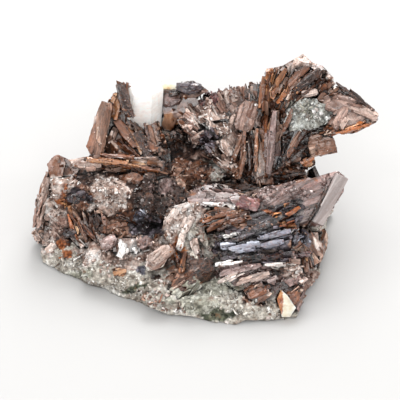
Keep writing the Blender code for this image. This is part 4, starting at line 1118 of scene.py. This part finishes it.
def lay(number, shape, palette, across, down, long, wide, thick, angle, roll, luck):
    """Lays a copy of a shape where the ray through the pixel meets the specimen."""
    ray = (seen(across, down, 0) - EYE).normalized()
    for nudge in (0, 3, -3, 6, -6):
        _, normal, _, depth = packed.ray_cast(EYE, (seen(across + nudge, down, 0) - EYE).normalized())
        if normal:
            break
    else:
        print("nothing at", across, down)
        return None
    spot = EYE + ray * depth
    normal = (normal * 0.8 - AWAY * 0.6).normalized()
    course = RIGHT * math.cos(math.radians(angle)) + UP * math.sin(math.radians(angle))
    course = course + AWAY * max(-0.6, min(0.6, -course.dot(normal) / AWAY.dot(normal)))
    pixel = SPECIMEN_WIDTH / SPECIMEN_PIXELS
    along = course.normalized()
    out = (normal - along * normal.dot(along)).normalized()
    out = Matrix.Rotation(math.radians(roll), 3, along) @ out
    side = out.cross(along)
    shown = max((side - AWAY * side.dot(AWAY)).length, 0.6)
    size = (side * (wide * pixel / 2 / shown), out * (thick * MM / 2),
            along * (long * pixel / 2 * course.length))
    return put(number, shape, spot + out * (thick * 0.2 + 0.15) * MM, size, palette, luck)


def bundle(number, shape, palette, across, down, long, wide, thick, angle, roll, luck):
    """A crystal and three lesser ones beside it, a little askew, as they grow in bundles."""
    yield shape, palette, across, down, long * 0.94, wide * 0.8, thick, angle, roll, luck
    chance = np.random.default_rng(900 + number)
    turn = math.radians(angle)
    for _ in range(3):
        along, aside = chance.uniform(-0.3, 0.3) * long, chance.uniform(-0.42, 0.42) * wide
        yield (shape, palette, across + along * math.cos(turn) - aside * math.sin(turn),
               down - along * math.sin(turn) - aside * math.cos(turn), long * chance.uniform(0.3, 0.65),
               wide * chance.uniform(0.3, 0.6), thick * chance.uniform(0.8, 1.3), angle + chance.uniform(-9, 9),
               roll + chance.uniform(-30, 30), min(1, max(0, luck + chance.uniform(-0.35, 0.3))))


def stretch(mesh, half_axes, centre):
    """Stretches a cube of half size 1 to three half axes, and moves it to a centre."""
    columns = [(*axis, 0) for axis in half_axes] + [(*centre, 1)]
    mesh.transform(Matrix(columns).transposed())


def put(number, shape, centre, size, palette, luck):
    """Puts a stretched copy of a shape at a place. Size holds its three half axes."""
    laid = bpy.data.objects.new(f"laid_{number}", bpy.data.objects[f"bench_{shape}"].data.copy())
    mesh = laid.data
    plain_points = points_of(mesh)
    stretch(mesh, size, centre)
    growth = plain_points * np.array([axis.length for axis in size]) * (1, 1, 0.2) + number * 0.01
    write(mesh, "growth", "FLOAT_VECTOR", "vector", growth)
    shift = np.random.default_rng(number).random(len(mesh.vertices)) * 0.3 - 0.15
    write_tone(mesh, pick(PALETTES[palette], np.clip(luck + shift, 0, 1)))
    bpy.context.scene.collection.objects.link(laid)
    return laid


def side_slab():
    """The smooth side face of the great wedge, as a thin slab on the wedge's own side, painted light grey
    as a painted sheen.
    """
    corners = [seen(338, 172.5, 17.6), seen(346, 178.5, 16.0), seen(323.5, 225, 8.8), seen(309.5, 221, 10.8)]
    across = (corners[1] - corners[0] + corners[2] - corners[3]) / 2
    along = (corners[0] - corners[3] + corners[1] - corners[2]) / 2
    out = across.cross(along).normalized()
    out = out if out.dot(AWAY) < 0 else -out
    middle = sum(corners, Vector()) / 4
    bpy.ops.object.select_all(action="DESELECT")
    bpy.ops.mesh.primitive_cube_add(size=2)
    slab = bpy.context.object
    slab.name = "wedge_side"
    stretch(slab.data, (across / 2, out * 0.35 * MM, along / 2), middle + out * 0.1 * MM)
    bpy.ops.object.mode_set(mode="EDIT")
    bpy.ops.mesh.select_all(action="SELECT")
    bpy.ops.mesh.normals_make_consistent(inside=False)
    bpy.ops.mesh.bevel(offset=0.12 * MM, segments=1)
    bpy.ops.mesh.select_all(action="SELECT")
    bpy.ops.mesh.subdivide(number_cuts=6)
    bpy.ops.object.mode_set(mode="OBJECT")
    paint(slab, "painted_sheen_grey", zones=(), heart=corners[3] - along)
    slab.data.materials.append(smooth_crystal)
    settle(slab, "brown_axinite")


side_slab()
laid_by_slot = {slot: [] for slot in BENCH_SLOTS}
for number, row in enumerate(SET_CRYSTALS):
    slot = next(slot for slot, palettes in BENCH_SLOTS.items() if row[1] in palettes)
    for share, part in enumerate(bundle(number, *row)):
        laid = lay(number * 4 + share, *part)
        if laid:
            laid_by_slot[slot].append(laid)
for slot, members in laid_by_slot.items():
    first = alone(members[0])
    for member in members[1:]:
        member.select_set(True)
    bpy.ops.object.join()
    first.name = f"set_{slot}"
    alone(first)
    bpy.ops.object.mode_set(mode="EDIT")
    bpy.ops.mesh.select_all(action="SELECT")
    bpy.ops.mesh.normals_make_consistent(inside=False)
    bpy.ops.object.mode_set(mode="OBJECT")
    divide(first, LONGEST_EDGE, packed)
    relief(first, "CLOUDS", 0.45, 0.16)
    relief(first, "CELLS", 0.8, 0.22)
    bpy.ops.object.shade_smooth_by_angle(angle=SHARP_ANGLE)
    first.data.materials.append(blade_glass)
    hold_floor(first)
    settle(first, slot)
    grit = grow(first, f"set_{slot}_grains", grains, 2.4, (0.12, 0.42), open_room(first, 200, 0.8),
                lean=0.9, seed=201)
    paint(grit, "lilac" if slot == "tan_axinite" else "crust" if slot == "matrix" else "brown")
    settle(grit, slot)
    print(first.name, len(members), "crystals,", len(first.data.polygons), "faces")

# %% [markdown]
# ## The pale crystals
# The quartz prism stays crisp, with fine lines across its faces. The feldspar is satin and stained
# with rust on one side, and the pale chip in the spray is rock. Quartz and feldspar glow faintly,
# a painted light, and their cracks get a slight painted shade.


# %% The pale material
def pale_material(name, stain):
    """A pale crystal that lets a little light in, with lines across it and a stain in its cracks. Its
    cracks also get a slight painted shade, and it glows faintly with a painted light.
    """
    material, tree, place = new_material(name)
    squeezed = new_node(tree, "ShaderNodeMapping", {"Vector": place, "Scale": (300, 900, 2400)})
    lines = noise_of(tree, squeezed.outputs["Vector"], 1.0, 3.0, 0.6)
    veil = noise_of(tree, place, 520, 4.0, 0.6)
    shade = combine(tree, "MULTIPLY", spread(tree, lines, 0.3, 0.7, 0.94, 1.06), hollow_shade(tree, 1.0, 0.95))
    colour = scaled(tree, attribute_of(tree, "tone", "Color"), shade)
    colour = laid_over(tree, colour, (196, 140, 92), spread(tree, veil, 0.55, 0.7, 0, stain))
    feed(tree, tree.nodes["Principled BSDF"], {
        "Base Color": colour,
        "Roughness": spread(tree, veil, 0.3, 0.7, 0.12, 0.4),
        "IOR": 1.54,
        "Subsurface Weight": 1.0,
        "Subsurface Radius": (1.0, 0.95, 0.9),
        "Subsurface Scale": 0.005,
        # A painted glow: the crystal's own colour shines faintly, in place of the light that passes through it.
        "Emission Color": colour,
        "Emission Strength": 0.14,
        "Coat Weight": 0.3,
        "Normal": bumped(tree, lines, 0.3, 0.05),
    })
    return material


# %% The pale pieces
quartz = pale_material("milky_quartz", 0.12)
feldspar = pale_material("feldspar", 0.6)
PALE = (
    ("white_prism", "quartz_prism", quartz, "quartz", "quartz", 0.03),
    ("cream_crystal", "cream_feldspar", feldspar, "feldspar", "cream", 0.1),
    ("cream_cap", "cream_cap_feldspar", feldspar, "feldspar", "cream", 0.14),
)
CREAM_ZONES = (("cream", 288, 304, 30, 30, 0), ("rust", 280, 303, 3, 12, 5))
CHIP_ZONES = (("white", 312, 112, 13, 5, 20), ("lilac", 334, 118, 7, 6, 0),
              ("mossy", 306, 112, 8, 6, 20), ("rust", 300, 124, 7, 2, 0))
for node, name, material, slot, ground, terraces in PALE:
    piece = copy_of(node, name)
    divide(piece, 0.3, packed)
    relief(piece, "CLOUDS", 2.5, terraces)
    hold_floor(piece)
    paint(piece, ground, zones=CREAM_ZONES if node == "cream_crystal" else ())
    piece.data.materials.append(material)
    settle(piece, slot, node)
chip = copy_of("green_chip", "green_chip_rock")
voxels(chip, 9000, finest=0.14)
relief(chip, "VORONOI", 1.6, 0.7)
relief(chip, "CLOUDS", 0.6, 0.4)
paint(chip, "chip", zones=())
chip.data.materials.append(rock)
settle(chip, "matrix", "green_chip")
chip_grains = grow(chip, "green_chip_grains", grains, 7, (0.2, 0.7), open_room(chip, 14, 0.8),
                   lean=1.0, seed=15)
paint(chip_grains, "chip", zones=CHIP_ZONES)
settle(chip_grains, "matrix")
print("pale pieces:", len(PALE) + 1)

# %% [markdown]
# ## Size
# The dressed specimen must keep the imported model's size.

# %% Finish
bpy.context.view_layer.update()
